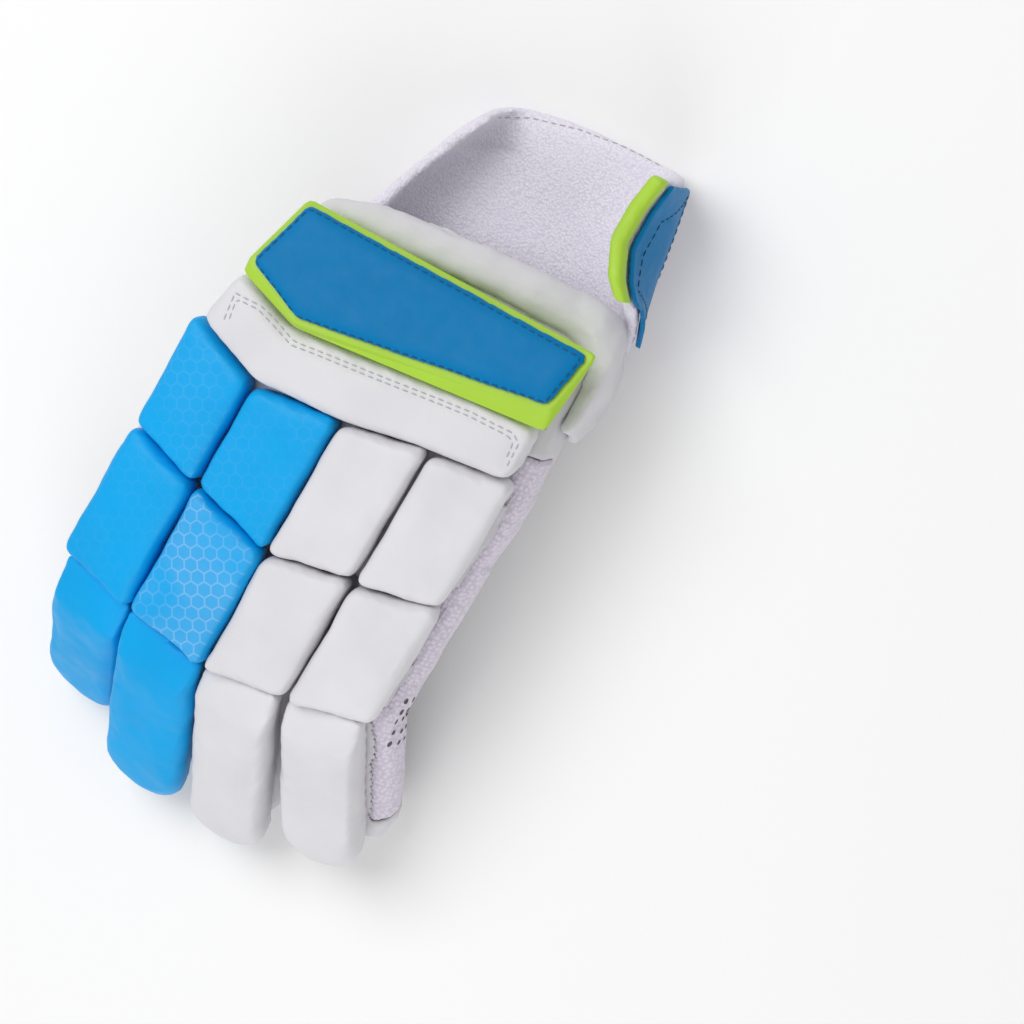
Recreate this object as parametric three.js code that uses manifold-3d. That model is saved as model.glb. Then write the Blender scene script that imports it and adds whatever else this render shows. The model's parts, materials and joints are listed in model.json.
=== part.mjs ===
// Cricket batting glove for the left hand, in millimetres, palm down on a surface.
// +X points to the little finger side, +Y to the wrist and +Z out of the back of the hand.
// The back carries three rows of foam pads, a knuckle bar and a wrist cuff. The leather glove
// under them is hollow: a palm shell with an open wrist, four finger stalls and a thumb stall.
import * as THREE from 'three';
import { mergeVertices } from 'three/addons/utils/BufferGeometryUtils.js';
import Module from 'manifold-3d';

const wasm = await Module();
wasm.setup();

// Driving sizes of the padded back
const knuckleBreadth = 109;
const rowLength = 42;
const tipLength = 73;
const padHeight = 12.6;
const padGap = 1.6;
const padCornerRadius = 2.4;
const knuckleBend = 2;
const jointDepth = 8;
const tipStep = 4;
const tipBevel = 3.2;
const barCornerRadius = 3;

// Driving sizes of the leather glove
const leather = 2;
const fit = 0.3;
const palmDepth = 31;
const stallDepth = 21;
const stallClearance = 1;
const fingertipGap = 4.4;
const sideBulge = 7;
const restHeight = 54;

// Driving sizes of the wrist
const wristDrop = 18;
const wristTurn = 8;
const wristStart = 42;
const wristLength = 42;
const mouthLean = 0.3;
const mouthBow = 10;
const wristBreadth = 100;
const wristDepth = 40;
const cuffHeight = 16.5;
const cuffDepth = 38;
const cuffFaceHeight = 2.4;
const cuffMargin = 1.6;
const cuffUndercut = 6.5;
const collarHeight = 8.5;
const strapLength = 37;
const hemBulge = 13;
const strapThickness = 4.5;
const bindingThickness = 5.4;
const bindingHeight = 5;
const tabThickness = 1.6;

// Driving sizes of the thumb
const thumbDiameter = 27;
const thumbPadHeight = 7;
const thumbFlapHeight = 4;

const colours = {
  blue: 0x2fa6ea,
  cuffBlue: 0x1c8fd8,
  white: 0xe0dfe4,
  lime: 0xa5dc2d,
  towel: 0xccc9d4,
  mesh: 0xcdc5d7,
};

// A row for each finger. breadth is a share of knuckleBreadth, roll, bend and splay are degrees,
// tip is a share of tipLength, and flare widens the outer side by a share of the breadth.
const fingers = [
  { name: 'index', breadth: 0.244, roll: -5.6, bend: 44, splay: -4, tip: 0.9, flare: 0.05, colour: 'blue' },
  { name: 'middle', breadth: 0.263, roll: -0.9, bend: 35, splay: 4, tip: 1, flare: 0, colour: 'blue' },
  { name: 'ring', breadth: 0.248, roll: 0.9, bend: 34, splay: 9, tip: 0.99, flare: 0, colour: 'white' },
  { name: 'little', breadth: 0.245, roll: 5.6, bend: 30, splay: 17, tip: 0.87, flare: 0.01, colour: 'white' },
];

// A row for each line between two finger columns, from the index side to the little finger side.
// Shares of rowLength towards the fingertips: where the knuckle pads start and end, how long the
// finger pads are, and how deep the knuckle bar is.
const columnLines = [
  { knuckle: -0.53, joint: 0.41, second: 1.09, bar: 0.44 },
  { knuckle: -0.35, joint: 0.52, second: 1.06, bar: 0.5 },
  { knuckle: -0.46, joint: 0.64, second: 0.99, bar: 0.5 },
  { knuckle: -0.63, joint: 0.47, second: 1.01, bar: 0.47 },
  { knuckle: -0.76, joint: 0.3, second: 0.99, bar: 0.42 },
];

// Side profile of a foam pad: height as a share of padHeight, inset in shares of padHeight.
const padProfile = [
  { height: 0, inset: 0.04 },
  { height: 0.35, inset: 0 },
  { height: 0.84, inset: 0 },
  { height: 0.96, inset: 0.05 },
  { height: 1, inset: 0.16 },
];

// Side profile of a fingertip pad: height and end setback as shares of padHeight, and breadth
// as a share of the pad's own half breadth.
const tipProfile = [
  { height: 0, breadth: 0.95, setback: 0.1 },
  { height: 0.35, breadth: 1, setback: 0 },
  { height: 0.7, breadth: 1, setback: 0.22 },
  { height: 0.92, breadth: 0.96, setback: 0.6 },
  { height: 1, breadth: 0.88, setback: 1.05 },
];

// Sections of the palm from the finger roots to the wrist bar. along is a share of wristStart,
// left and right are shares of half knuckleBreadth, and depth is a share of palmDepth.
const palmSections = [
  { along: -0.5, left: 0.96, right: 0.98, depth: 0.72 },
  { along: -0.1, left: 1.0, right: 1.04, depth: 0.94 },
  { along: 0.26, left: 1.01, right: 1.06, depth: 1.0 },
  { along: 0.52, left: 0.98, right: 1.06, depth: 1.06 },
];

// Sections of the wrist behind the bar. along is a share of wristLength, left and right are
// shares of half wristBreadth, and depth is a share of wristDepth.
const wristSections = [
  { along: 0.18, left: 0.98, right: 1.1, depth: 0.9 },
  { along: 0.5, left: 0.92, right: 1.13, depth: 0.98 },
  { along: 1, left: 0.76, right: 1.13, depth: 1.04 },
];

// Outline of the cuff: the corners of its blue face and of the lime edge below it, in shares of
// wristBreadth and cuffDepth from the bar's rear edge
const cuffOutline = [
  { across: -0.45, along: 0.17, edgeAcross: -0.475, edgeAlong: 0.08 },
  { across: -0.25, along: -0.09, edgeAcross: -0.255, edgeAlong: -0.15 },
  { across: 0.54, along: 0.13, edgeAcross: 0.56, edgeAlong: -0.05 },
  { across: 0.585, along: 0.61, edgeAcross: 0.6, edgeAlong: 0.63 },
  { across: -0.37, along: 0.76, edgeAcross: -0.385, edgeAlong: 0.8 },
];

// Where the wrist collar starts behind the cuff, at angles round the wrist from the little finger
// side. front is a share of wristLength and swell a share of collarHeight.
const collarStations = [
  { angle: -36, front: 0.46, swell: 0.36 },
  { angle: -12, front: 0.06, swell: 0.62 },
  { angle: 12, front: 0.06, swell: 0.7 },
  { angle: 24, front: 0.6, swell: 0.85 },
  { angle: 45, front: 0.66, swell: 1 },
  { angle: 75, front: 0.69, swell: 1 },
  { angle: 105, front: 0.72, swell: 1 },
  { angle: 135, front: 0.79, swell: 0.75 },
  { angle: 160, front: 0.76, swell: 0.55 },
  { angle: 190, front: 0.72, swell: 0.4 },
];

// Section of the collar from the cuff to its rolled rim: reach is a share of its length and
// rise a share of its swell.
const collarProfile = [
  { reach: 0, rise: 0.55 },
  { reach: 0.22, rise: 0.92 },
  { reach: 0.55, rise: 1 },
  { reach: 0.84, rise: 0.86 },
  { reach: 1, rise: 0.45 },
];

// Sections of the wrist strap from the glove's mouth to its hem. along is a share of
// strapLength. left, right and edge are shares of half wristBreadth: the two walls and the
// standing edge. leftTop and rightTop are the heights of the two edges above the surface in
// shares of restHeight.
const strapSections = [
  { along: 0, left: 0.58, right: 1.24, edge: 1.24, leftTop: 0.64, rightTop: 0.98 },
  { along: 0.14, left: 0.54, right: 1.19, edge: 1.15, leftTop: 0.6, rightTop: 0.97 },
  { along: 0.4, left: 0.45, right: 1.15, edge: 1.07, leftTop: 0.54, rightTop: 0.93 },
  { along: 0.7, left: 0.33, right: 1.13, edge: 1.08, leftTop: 0.47, rightTop: 0.89 },
  { along: 1, left: 0.18, right: 1.11, edge: 1.14, leftTop: 0.42, rightTop: 0.88 },
];

// Centre line of the thumb stall from the palm to the thumb's end. across is a share of half
// knuckleBreadth, along of wristStart, height of restHeight above the surface, and size of
// thumbDiameter.
const thumbSections = [
  { across: -0.5, along: 0.72, height: 0.55, size: 0.72 },
  { across: -0.7, along: 0.34, height: 0.4, size: 0.96 },
  { across: -0.82, along: -0.1, height: 0.29, size: 1.02 },
  { across: -0.86, along: -0.55, height: 0.245, size: 1 },
  { across: -0.86, along: -0.95, height: 0.23, size: 0.92 },
  { across: -0.85, along: -1.14, height: 0.215, size: 0.56 },
];

// The round end of a finger stall: back from its end in shares of the stall's half breadth, and
// its size as a share of the full section.
const stallEnd = [
  { back: 0.91, size: 0.97 },
  { back: 0.31, size: 0.8 },
  { back: 0, size: 0.45 },
];

// The panels let into the sides of the outer fingers, in shares: inner and outer of the column's
// half breadth, top and depth of stallDepth, rear of wristStart and front of the fingertip.
const littlePanel = { side: 1, inner: 0.45, outer: 3, top: 0.14, depth: 0.86, rear: 0.9, front: 0.72 };
const indexPanel = { side: -1, inner: 0.45, outer: 3, top: 0.14, depth: 0.6, rear: 0.66, front: 0.72 };

// Side profile of the cuff's lime rim: height as a share of cuffHeight, and undercut as a share
// of cuffUndercut in from its widest line.
const rimFoot = { height: 0, undercut: 1 };
const rimShoulder = { height: 0.76, undercut: 0.35 };
const rimLip = { height: 0.84, undercut: 0 };
const rimTop = { height: 0.97, margin: 1 };
const rimSeat = { height: 1, margin: 0.7 };

// How far the blue face's crown lies in from its edge
const cuffCrown = 4;

// Side profile of the cuff's blue face: height as a share of cuffFaceHeight, and inset as a
// share of cuffCrown.
const cuffProfile = [
  { height: 0, inset: 0 },
  { height: 0.4, inset: 0 },
  { height: 0.8, inset: 0.25 },
  { height: 1, inset: 1 },
];

// Where the blue tab lies on the strap, in shares of its girth and of its length
const tabPlace = { from: 0.8, to: 0.997, start: 0.02, end: 0.97 };

// Section of the binding: side in shares of half its thickness and rise in shares of its height
const bindingSection = [
  { side: -1, rise: 0 },
  { side: -1, rise: 0.6 },
  { side: -0.6, rise: 1 },
  { side: 0.6, rise: 1 },
  { side: 1, rise: 0.6 },
  { side: 1, rise: 0 },
];

// The thumb pad: its rows in shares of the thumb's length and its columns in degrees round it
const thumbPadRows = { from: 0.42, to: 0.97, count: 8 };
const thumbPadColumns = { from: 132, to: 220, count: 6 };
const thumbRoundness = 0.92;

// Rows of the thumb flap. angle is round the wrist, and front and rear are shares of wristLength.
const flapRows = [
  { angle: 200, front: 0.12, rear: 0.3 },
  { angle: 187, front: 0.1, rear: 0.42 },
  { angle: 174, front: 0.1, rear: 0.5 },
  { angle: 161, front: 0.14, rear: 0.5 },
];
const flapEdge = 0.4;

const radians = THREE.MathUtils.degToRad;
const spaced = (from, to, count) => {
  return Array.from({ length: count }, (_, i) => from + ((to - from) * i) / (count - 1));
};
const point = (x, y, z) => new THREE.Vector3(x, y, z);
const moved = (frame, x, y, z) => frame.clone().multiply(new THREE.Matrix4().makeTranslation(x, y, z));
const turnedX = (frame, angle) => frame.clone().multiply(new THREE.Matrix4().makeRotationX(radians(angle)));
const turnedY = (frame, angle) => frame.clone().multiply(new THREE.Matrix4().makeRotationY(radians(angle)));
const turnedZ = (frame, angle) => frame.clone().multiply(new THREE.Matrix4().makeRotationZ(radians(angle)));
const hand = new THREE.Matrix4();
const floor = -restHeight;

// Closed solids from points

function solidFrom(positions, triangles) {
  let geometry = new THREE.BufferGeometry();
  geometry.setAttribute('position', new THREE.Float32BufferAttribute(positions.flatMap((p) => p.toArray()), 3));
  geometry.setIndex(triangles.flat());
  geometry = mergeVertices(geometry, 1e-4);
  const mesh = new wasm.Mesh({
    numProp: 3,
    vertProperties: new Float32Array(geometry.attributes.position.array),
    triVerts: new Uint32Array(geometry.index.array),
  });
  return new wasm.Manifold(mesh);
}

function signedVolume(positions, triangles) {
  return triangles.reduce((sum, [a, b, c]) => {
    const cross = positions[b].clone().cross(positions[c]);
    return sum + positions[a].dot(cross) / 6;
  }, 0);
}

function outward(positions, triangles) {
  const flip = signedVolume(positions, triangles) < 0;
  return solidFrom(positions, flip ? triangles.map(([a, b, c]) => [a, c, b]) : triangles);
}

// Rings of equal point count joined in order, each end closed by a fan from its middle
function stack(rings) {
  const count = rings[0].length;
  const positions = rings.flat();
  const triangles = [];
  for (let ring = 0; ring < rings.length - 1; ring += 1) {
    for (let i = 0; i < count; i += 1) {
      const next = (i + 1) % count;
      const a = ring * count + i;
      const b = ring * count + next;
      triangles.push([a, b, b + count], [a, b + count, a + count]);
    }
  }
  const ends = [[0, -1], [rings.length - 1, 1]];
  for (const [ring, side] of ends) {
    const middle = positions.length;
    const centre = rings[ring].reduce((sum, p) => sum.add(p), point(0, 0, 0)).divideScalar(count);
    positions.push(centre);
    for (let i = 0; i < count; i += 1) {
      const a = ring * count + i;
      const b = ring * count + ((i + 1) % count);
      triangles.push(side > 0 ? [a, b, middle] : [b, a, middle]);
    }
  }
  return outward(positions, triangles);
}

// A curved panel between two grids of points of equal size
function panel(outer, inner) {
  const rows = outer.length;
  const columns = outer[0].length;
  const positions = [...outer.flat(), ...inner.flat()];
  const top = (r, c) => r * columns + c;
  const under = (r, c) => rows * columns + r * columns + c;
  const triangles = [];
  const quad = (a, b, c, d) => triangles.push([a, b, c], [a, c, d]);
  for (let r = 0; r < rows - 1; r += 1) {
    for (let c = 0; c < columns - 1; c += 1) {
      quad(top(r, c), top(r, c + 1), top(r + 1, c + 1), top(r + 1, c));
      quad(under(r, c), under(r + 1, c), under(r + 1, c + 1), under(r, c + 1));
    }
    quad(top(r, 0), top(r + 1, 0), under(r + 1, 0), under(r, 0));
    quad(top(r + 1, columns - 1), top(r, columns - 1), under(r, columns - 1), under(r + 1, columns - 1));
  }
  for (let c = 0; c < columns - 1; c += 1) {
    quad(top(0, c + 1), top(0, c), under(0, c), under(0, c + 1));
    quad(top(rows - 1, c), top(rows - 1, c + 1), under(rows - 1, c + 1), under(rows - 1, c));
  }
  return outward(positions, triangles);
}

// Flat outlines

// Corners moved inwards by a distance, for an outline that runs anticlockwise
function inset(corners, distance) {
  return corners.map((corner, i) => {
    const before = corners[(i + corners.length - 1) % corners.length];
    const after = corners[(i + 1) % corners.length];
    const incoming = corner.clone().sub(before).normalize();
    const outgoing = after.clone().sub(corner).normalize();
    const first = new THREE.Vector2(-incoming.y, incoming.x);
    const second = new THREE.Vector2(-outgoing.y, outgoing.x);
    const bisector = first.add(second).normalize();
    const stretch = distance / Math.max(0.3, bisector.dot(second));
    return corner.clone().addScaledVector(bisector, stretch);
  });
}

// Each corner replaced by a short curve
function rounded(corners, radius, steps = 3) {
  return corners.flatMap((corner, i) => {
    const before = corners[(i + corners.length - 1) % corners.length];
    const after = corners[(i + 1) % corners.length];
    const back = Math.min(radius, corner.distanceTo(before) / 2.2);
    const ahead = Math.min(radius, corner.distanceTo(after) / 2.2);
    const start = corner.clone().add(before.clone().sub(corner).setLength(back));
    const end = corner.clone().add(after.clone().sub(corner).setLength(ahead));
    const curve = new THREE.QuadraticBezierCurve(start, corner, end);
    return curve.getPoints(steps - 1);
  });
}

function ringAt(frame, outline, height) {
  return outline.map((p) => point(p.x, p.y, height).applyMatrix4(frame));
}

// Half and full ovals with squared shoulders, as sections of the leather glove
function oval(left, right, top, bottom, power, sides = 24) {
  const centre = (top + bottom) / 2;
  const half = (top - bottom) / 2;
  return Array.from({ length: sides }, (_, i) => {
    const angle = (2 * Math.PI * i) / sides;
    const cosine = Math.cos(angle);
    const sine = Math.sin(angle);
    const breadth = cosine < 0 ? left : right;
    const x = Math.sign(cosine) * breadth * Math.abs(cosine) ** (2 / power);
    const z = centre + Math.sign(sine) * half * Math.abs(sine) ** (2 / power);
    return new THREE.Vector2(x, z);
  });
}

// The glove's mouth is cut back towards the palm and towards the thumb side
function mouthShift(x, z) {
  const thumbSide = Math.min(x, 0) / (wristBreadth / 2);
  return mouthLean * Math.min(z, 0) - mouthBow * thumbSide ** 2;
}

function sectionAt(frame, section, along, lift = 0, shift = 0) {
  return section.map((p) => {
    const corner = point(p.x, along + shift * mouthShift(p.x, p.y), p.y).applyMatrix4(frame);
    corner.z = Math.max(corner.z, floor + lift);
    return corner;
  });
}

// The finger columns and their frames

const lineAcross = [0];
for (const finger of fingers) {
  lineAcross.push(lineAcross.at(-1) + finger.breadth * knuckleBreadth);
}

const columns = fingers.map((finger, i) => {
  const breadth = finger.breadth * knuckleBreadth;
  const half = breadth / 2 - padGap / 2;
  const near = columnLines[i];
  const far = columnLines[i + 1];
  const jointNear = near.joint * rowLength;
  const jointFar = far.joint * rowLength;
  const joint = (jointNear + jointFar) / 2;
  const secondNear = near.second * rowLength + jointNear - joint;
  const secondFar = far.second * rowLength + jointFar - joint;
  return {
    ...finger,
    half,
    near,
    far,
    joint,
    jointNear,
    jointFar,
    secondNear,
    secondFar,
    second: (secondNear + secondFar) / 2,
    length: finger.tip * tipLength,
    spread: finger.flare * breadth * Math.sign(finger.roll),
  };
});

// Where the pads' base line lies at each column line: the two middle columns are nearly level
// and the outer ones fall away to the sides.
const middleLine = 2;
const linePoints = [];
linePoints[middleLine] = point(0, 0, 0);
for (let i = middleLine; i < fingers.length; i += 1) {
  const step = fingers[i].breadth * knuckleBreadth;
  const roll = radians(fingers[i].roll);
  linePoints[i + 1] = linePoints[i].clone().add(point(step * Math.cos(roll), 0, -step * Math.sin(roll)));
}
for (let i = middleLine - 1; i >= 0; i -= 1) {
  const step = fingers[i].breadth * knuckleBreadth;
  const roll = radians(fingers[i].roll);
  linePoints[i] = linePoints[i + 1].clone().add(point(-step * Math.cos(roll), 0, step * Math.sin(roll)));
}

columns.forEach((column, i) => {
  const centre = linePoints[i].clone().add(linePoints[i + 1]).divideScalar(2);
  column.knuckleFrame = turnedY(moved(hand, centre.x, centre.y, centre.z), column.roll);
  const joint = moved(column.knuckleFrame, 0, -column.joint, -jointDepth);
  column.fingerFrame = moved(turnedX(joint, knuckleBend), 0, 0, jointDepth);
  const last = moved(column.fingerFrame, 0, -column.second, -jointDepth);
  column.tipFrame = moved(turnedZ(turnedX(last, column.bend), column.splay), 0, 0, jointDepth);
});

// Foam pads

function foamPad(frame, corners, radius) {
  const rings = padProfile.map((row) => {
    const outline = rounded(inset(corners, row.inset * padHeight), radius);
    return ringAt(frame, outline, row.height * padHeight);
  });
  return stack(rings);
}

function knucklePad(column) {
  const edge = padGap / 2;
  const corners = [
    new THREE.Vector2(-column.half, -(column.jointNear - edge)),
    new THREE.Vector2(column.half, -(column.jointFar - edge)),
    new THREE.Vector2(column.half, -(column.far.knuckle * rowLength + edge)),
    new THREE.Vector2(-column.half, -(column.near.knuckle * rowLength + edge)),
  ];
  return foamPad(column.knuckleFrame, corners, padCornerRadius);
}

function fingerPad(column) {
  const edge = padGap / 2;
  const nearSlope = column.jointNear - column.joint;
  const farSlope = column.jointFar - column.joint;
  const corners = [
    new THREE.Vector2(-column.half + Math.min(0, column.spread), -column.secondNear),
    new THREE.Vector2(column.half + Math.max(0, column.spread), -column.secondFar),
    new THREE.Vector2(column.half, -(farSlope + edge)),
    new THREE.Vector2(-column.half, -(nearSlope + edge)),
  ];
  return foamPad(column.fingerFrame, corners, padCornerRadius);
}

// The round end of a fingertip pad
const tipRoundness = 0.95;
const tipSquareness = 0.8;
const tipCorner = 1;
const tipSteps = 11;

// The fingertip pad starts on the end face of the finger pad, steps down from it, rises along a
// bevel to its flat top and ends round.
function tipPad(column) {
  const toFinger = column.fingerFrame.clone().invert().multiply(column.tipFrame);
  const slope = (column.secondFar - column.secondNear) / (2 * column.half);
  const beyondFinger = (x, along, z) => {
    const p = point(x, -along, z).applyMatrix4(toFinger);
    return -p.y - (column.second + slope * p.x) - padGap / 2;
  };
  const startAt = (x, z) => {
    const at = beyondFinger(x, 0, z);
    const rate = beyondFinger(x, 1, z) - at;
    return -at / rate;
  };
  const lip = (jointDepth + padHeight - tipStep) * Math.cos(radians(column.bend)) - jointDepth;
  const startEdge = (x, z) => {
    if (z <= lip) {
      return startAt(x, z);
    }
    const share = (z - lip) / (padHeight - lip);
    const low = startAt(x, lip);
    return low + (tipBevel - low) * share;
  };
  const heights = [...tipProfile.map((row) => row.height * padHeight), lip].sort((a, b) => a - b);
  const rings = heights.map((height) => {
    const share = height / padHeight;
    const after = tipProfile.findIndex((row) => row.height >= share - 1e-6);
    const high = tipProfile[after];
    const low = tipProfile[Math.max(0, after - 1)];
    const span = high.height - low.height;
    const mix = span > 0 ? (share - low.height) / span : 0;
    const half = column.half * THREE.MathUtils.lerp(low.breadth, high.breadth, mix);
    const end = column.length - padHeight * THREE.MathUtils.lerp(low.setback, high.setback, mix);
    const curve = half * tipRoundness;
    const corner = half - tipCorner;
    const outline = [];
    for (const x of [corner, 0, -corner]) {
      outline.push(new THREE.Vector2(x, -startEdge(x, height)));
    }
    outline.push(new THREE.Vector2(-half, -startEdge(-half, height) - tipCorner));
    for (const angle of spaced(0, Math.PI, tipSteps)) {
      const outer = column.spread * Math.max(0, -Math.sign(column.spread) * Math.cos(angle));
      const x = -half * Math.cos(angle) + outer;
      outline.push(new THREE.Vector2(x, -(end - curve + curve * Math.sin(angle) ** tipSquareness)));
    }
    outline.push(new THREE.Vector2(half, -startEdge(half, height) - tipCorner));
    return ringAt(column.tipFrame, outline, height);
  });
  return stack(rings);
}

// The knuckle bar follows the column lines, one front and one rear corner on each
function knuckleBar() {
  const across = linePoints.map((p) => p.x);
  across[0] += barCornerRadius;
  across[across.length - 1] -= tipCorner;
  const front = columnLines.map((line, i) => {
    return new THREE.Vector2(across[i], -line.knuckle * rowLength + padGap / 2);
  });
  const rear = columnLines.map((line, i) => {
    return new THREE.Vector2(across[i], front[i].y + line.bar * rowLength);
  });
  rear[0].x += barCornerRadius;
  const corners = [...front, ...rear.reverse()];
  return foamPad(hand, corners, barCornerRadius);
}

// The leather glove

const wristFrame = turnedX(turnedZ(moved(hand, 0, wristStart, 0), wristTurn), -wristDrop);
const ovalPower = 4;

function wristSection(share, lift) {
  const after = Math.max(1, wristSections.findIndex((row) => row.along >= share - 1e-6));
  const low = wristSections[after - 1];
  const high = wristSections[after];
  const mix = (share - low.along) / (high.along - low.along);
  const left = (THREE.MathUtils.lerp(low.left, high.left, mix) * wristBreadth) / 2 + lift;
  const right = (THREE.MathUtils.lerp(low.right, high.right, mix) * wristBreadth) / 2 + lift;
  const depth = THREE.MathUtils.lerp(low.depth, high.depth, mix) * wristDepth;
  return { left, right, top: -fit + lift, bottom: -depth - lift };
}

function palmRings(wall) {
  const rings = palmSections.map((row, i) => {
    const left = (row.left * knuckleBreadth) / 2 - wall;
    const right = (row.right * knuckleBreadth) / 2 - wall;
    const section = oval(left, right, -fit - wall, -row.depth * palmDepth + wall, ovalPower);
    const along = row.along * wristStart + (i === 0 ? wall : 0);
    return sectionAt(hand, section, along, wall);
  });
  const wristRings = wristSections.map((row, i) => {
    const size = wristSection(row.along, -wall);
    const section = oval(size.left, size.right, size.top, size.bottom, ovalPower);
    const past = i === wristSections.length - 1 && wall !== 0 ? leather : 0;
    return sectionAt(wristFrame, section, row.along * wristLength + past, wall, row.along);
  });
  return [...rings, ...wristRings];
}

const stallPower = 2.8;
const stallSides = 16;
const rollLimit = 2;

// A finger stall runs from inside the palm over the last joint to a round end
function stallRings(column, wall) {
  const half = column.half - stallClearance - wall;
  const outerSide = Math.sign(column.roll) * (Math.abs(column.roll) > rollLimit ? sideBulge : 0);
  const left = half + Math.max(0, -outerSide);
  const right = half + Math.max(0, outerSide);
  const section = (share) => {
    const top = -fit - wall;
    const bottom = -stallDepth + wall;
    const middle = (top + bottom) / 2;
    const shrunk = (value) => middle + (value - middle) * share;
    return oval(left * share, right * share, shrunk(top), shrunk(bottom), stallPower, stallSides);
  };
  const halfBend = turnedX(moved(column.fingerFrame, 0, -column.second, -jointDepth), column.bend / 2);
  const bendFrame = moved(turnedZ(halfBend, column.splay / 2), 0, 0, jointDepth);
  const end = column.length - fingertipGap - wall;
  const endRings = stallEnd.map((row) => {
    return sectionAt(column.tipFrame, section(row.size), -(end - row.back * half), wall);
  });
  return [
    sectionAt(column.knuckleFrame, section(1), 0, wall),
    sectionAt(column.fingerFrame, section(1), -jointDepth, wall),
    sectionAt(column.fingerFrame, section(1), -column.second + jointDepth, wall),
    sectionAt(bendFrame, section(1), 0, wall),
    sectionAt(column.tipFrame, section(1), -jointDepth, wall),
    ...endRings,
  ];
}

// The thumb stall follows its own centre line
const thumbPoints = thumbSections.map((row) => {
  const across = (row.across * knuckleBreadth) / 2;
  return point(across, row.along * wristStart, floor + row.height * restHeight);
});
const thumbPower = 2.3;
const thumbCurve = new THREE.CatmullRomCurve3(thumbPoints);

function thumbFrame(share) {
  const tangent = thumbCurve.getTangent(share);
  const forward = tangent.clone().negate();
  const side = new THREE.Vector3().crossVectors(forward, point(0, 0, 1)).normalize();
  const up = new THREE.Vector3().crossVectors(side, forward);
  const frame = new THREE.Matrix4().makeBasis(side, forward, up);
  return frame.setPosition(thumbCurve.getPoint(share));
}

function thumbSize(share) {
  const place = share * (thumbSections.length - 1);
  const low = Math.min(Math.floor(place), thumbSections.length - 2);
  const size = THREE.MathUtils.lerp(thumbSections[low].size, thumbSections[low + 1].size, place - low);
  return (size * thumbDiameter) / 2;
}

function thumbRings(wall) {
  return thumbSections.map((row, i) => {
    const share = i / (thumbSections.length - 1);
    const radius = thumbSize(share) - wall;
    const height = radius * thumbRoundness;
    const back = i === thumbSections.length - 1 ? wall : 0;
    const section = oval(radius, radius, height, -height, thumbPower, stallSides);
    return sectionAt(thumbFrame(share), section, back, wall);
  });
}

// The glove as a filled solid, its skin moved inwards by a distance
function filledGlove(wall) {
  const stalls = columns.map((column) => stack(stallRings(column, wall)));
  const thumb = stack(thumbRings(wall));
  return [...stalls, thumb].reduce((sum, solid) => sum.add(solid), stack(palmRings(wall)));
}

const gloveWall = filledGlove(0).subtract(filledGlove(leather));

// What lies on the glove is trimmed to its skin
const seat = filledGlove(-fit);
const seated = (solid) => solid.subtract(seat);
const sunk = -leather / 2;

// A side panel is let into the wall along one outer finger, from the wrist to near its tip
function boxIn(frame, low, high) {
  const xs = [low.x, high.x];
  const rings = [low.z, high.z].map((z) => {
    const outline = [
      new THREE.Vector2(xs[0], low.y),
      new THREE.Vector2(xs[1], low.y),
      new THREE.Vector2(xs[1], high.y),
      new THREE.Vector2(xs[0], high.y),
    ];
    return ringAt(frame, outline, z);
  });
  return stack(rings);
}

function sideRegion(column, place, grow) {
  const inner = column.half * place.inner;
  const outer = column.half * place.outer;
  const across = place.side > 0 ? [inner - grow, outer] : [-outer, -inner + grow];
  const low = -stallDepth * place.depth - grow;
  const high = -stallDepth * place.top + grow;
  const body = boxIn(
    column.knuckleFrame,
    point(across[0], -column.joint - jointDepth - grow, low),
    point(across[1], wristStart * place.rear + grow, high),
  );
  const finger = boxIn(
    column.fingerFrame,
    point(across[0], -column.second - grow, low),
    point(across[1], jointDepth + grow, high),
  );
  const tip = boxIn(
    column.tipFrame,
    point(across[0], -column.length * place.front - grow, low),
    point(across[1], jointDepth / 2 + grow, high),
  );
  return body.add(finger).add(tip);
}

const littleColumn = columns.at(-1);
const indexColumn = columns[0];
const littleSide = gloveWall.intersect(sideRegion(littleColumn, littlePanel, 0));
const indexSide = gloveWall.intersect(sideRegion(indexColumn, indexPanel, 0));
const leatherWall = gloveWall
  .subtract(sideRegion(littleColumn, littlePanel, fit))
  .subtract(sideRegion(indexColumn, indexPanel, fit));

// The five stalls meet the palm along a straight seam in front of it
const seam = palmSections[0].along * wristStart;
const reach = 2 * rowLength + tipLength;

function aheadOfSeam(filledStall, back) {
  const low = point(-knuckleBreadth, -reach, -2 * restHeight);
  const high = point(knuckleBreadth, seam - back, padHeight);
  return filledStall.intersect(boxIn(hand, low, high));
}

const filledStalls = columns.map((column) => stack(stallRings(column, -fit)));
const filledThumb = stack(thumbRings(-fit));
const fingerStalls = filledStalls.map((filled) => leatherWall.intersect(aheadOfSeam(filled, fit)));
const thumbStall = leatherWall.intersect(aheadOfSeam(filledThumb, fit));
const handShell = [...filledStalls, filledThumb].reduce((shell, filled) => {
  return shell.subtract(aheadOfSeam(filled, 0));
}, leatherWall);

// The cuff: a lime block with a bevelled edge that carries the blue face

const cuffFace = cuffOutline.map((row) => {
  return new THREE.Vector2(row.across * wristBreadth, row.along * cuffDepth);
});
const cuffEdge = cuffOutline.map((row) => {
  return new THREE.Vector2(row.edgeAcross * wristBreadth, row.edgeAlong * cuffDepth);
});

const cuffCornerRadius = 2;

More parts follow.
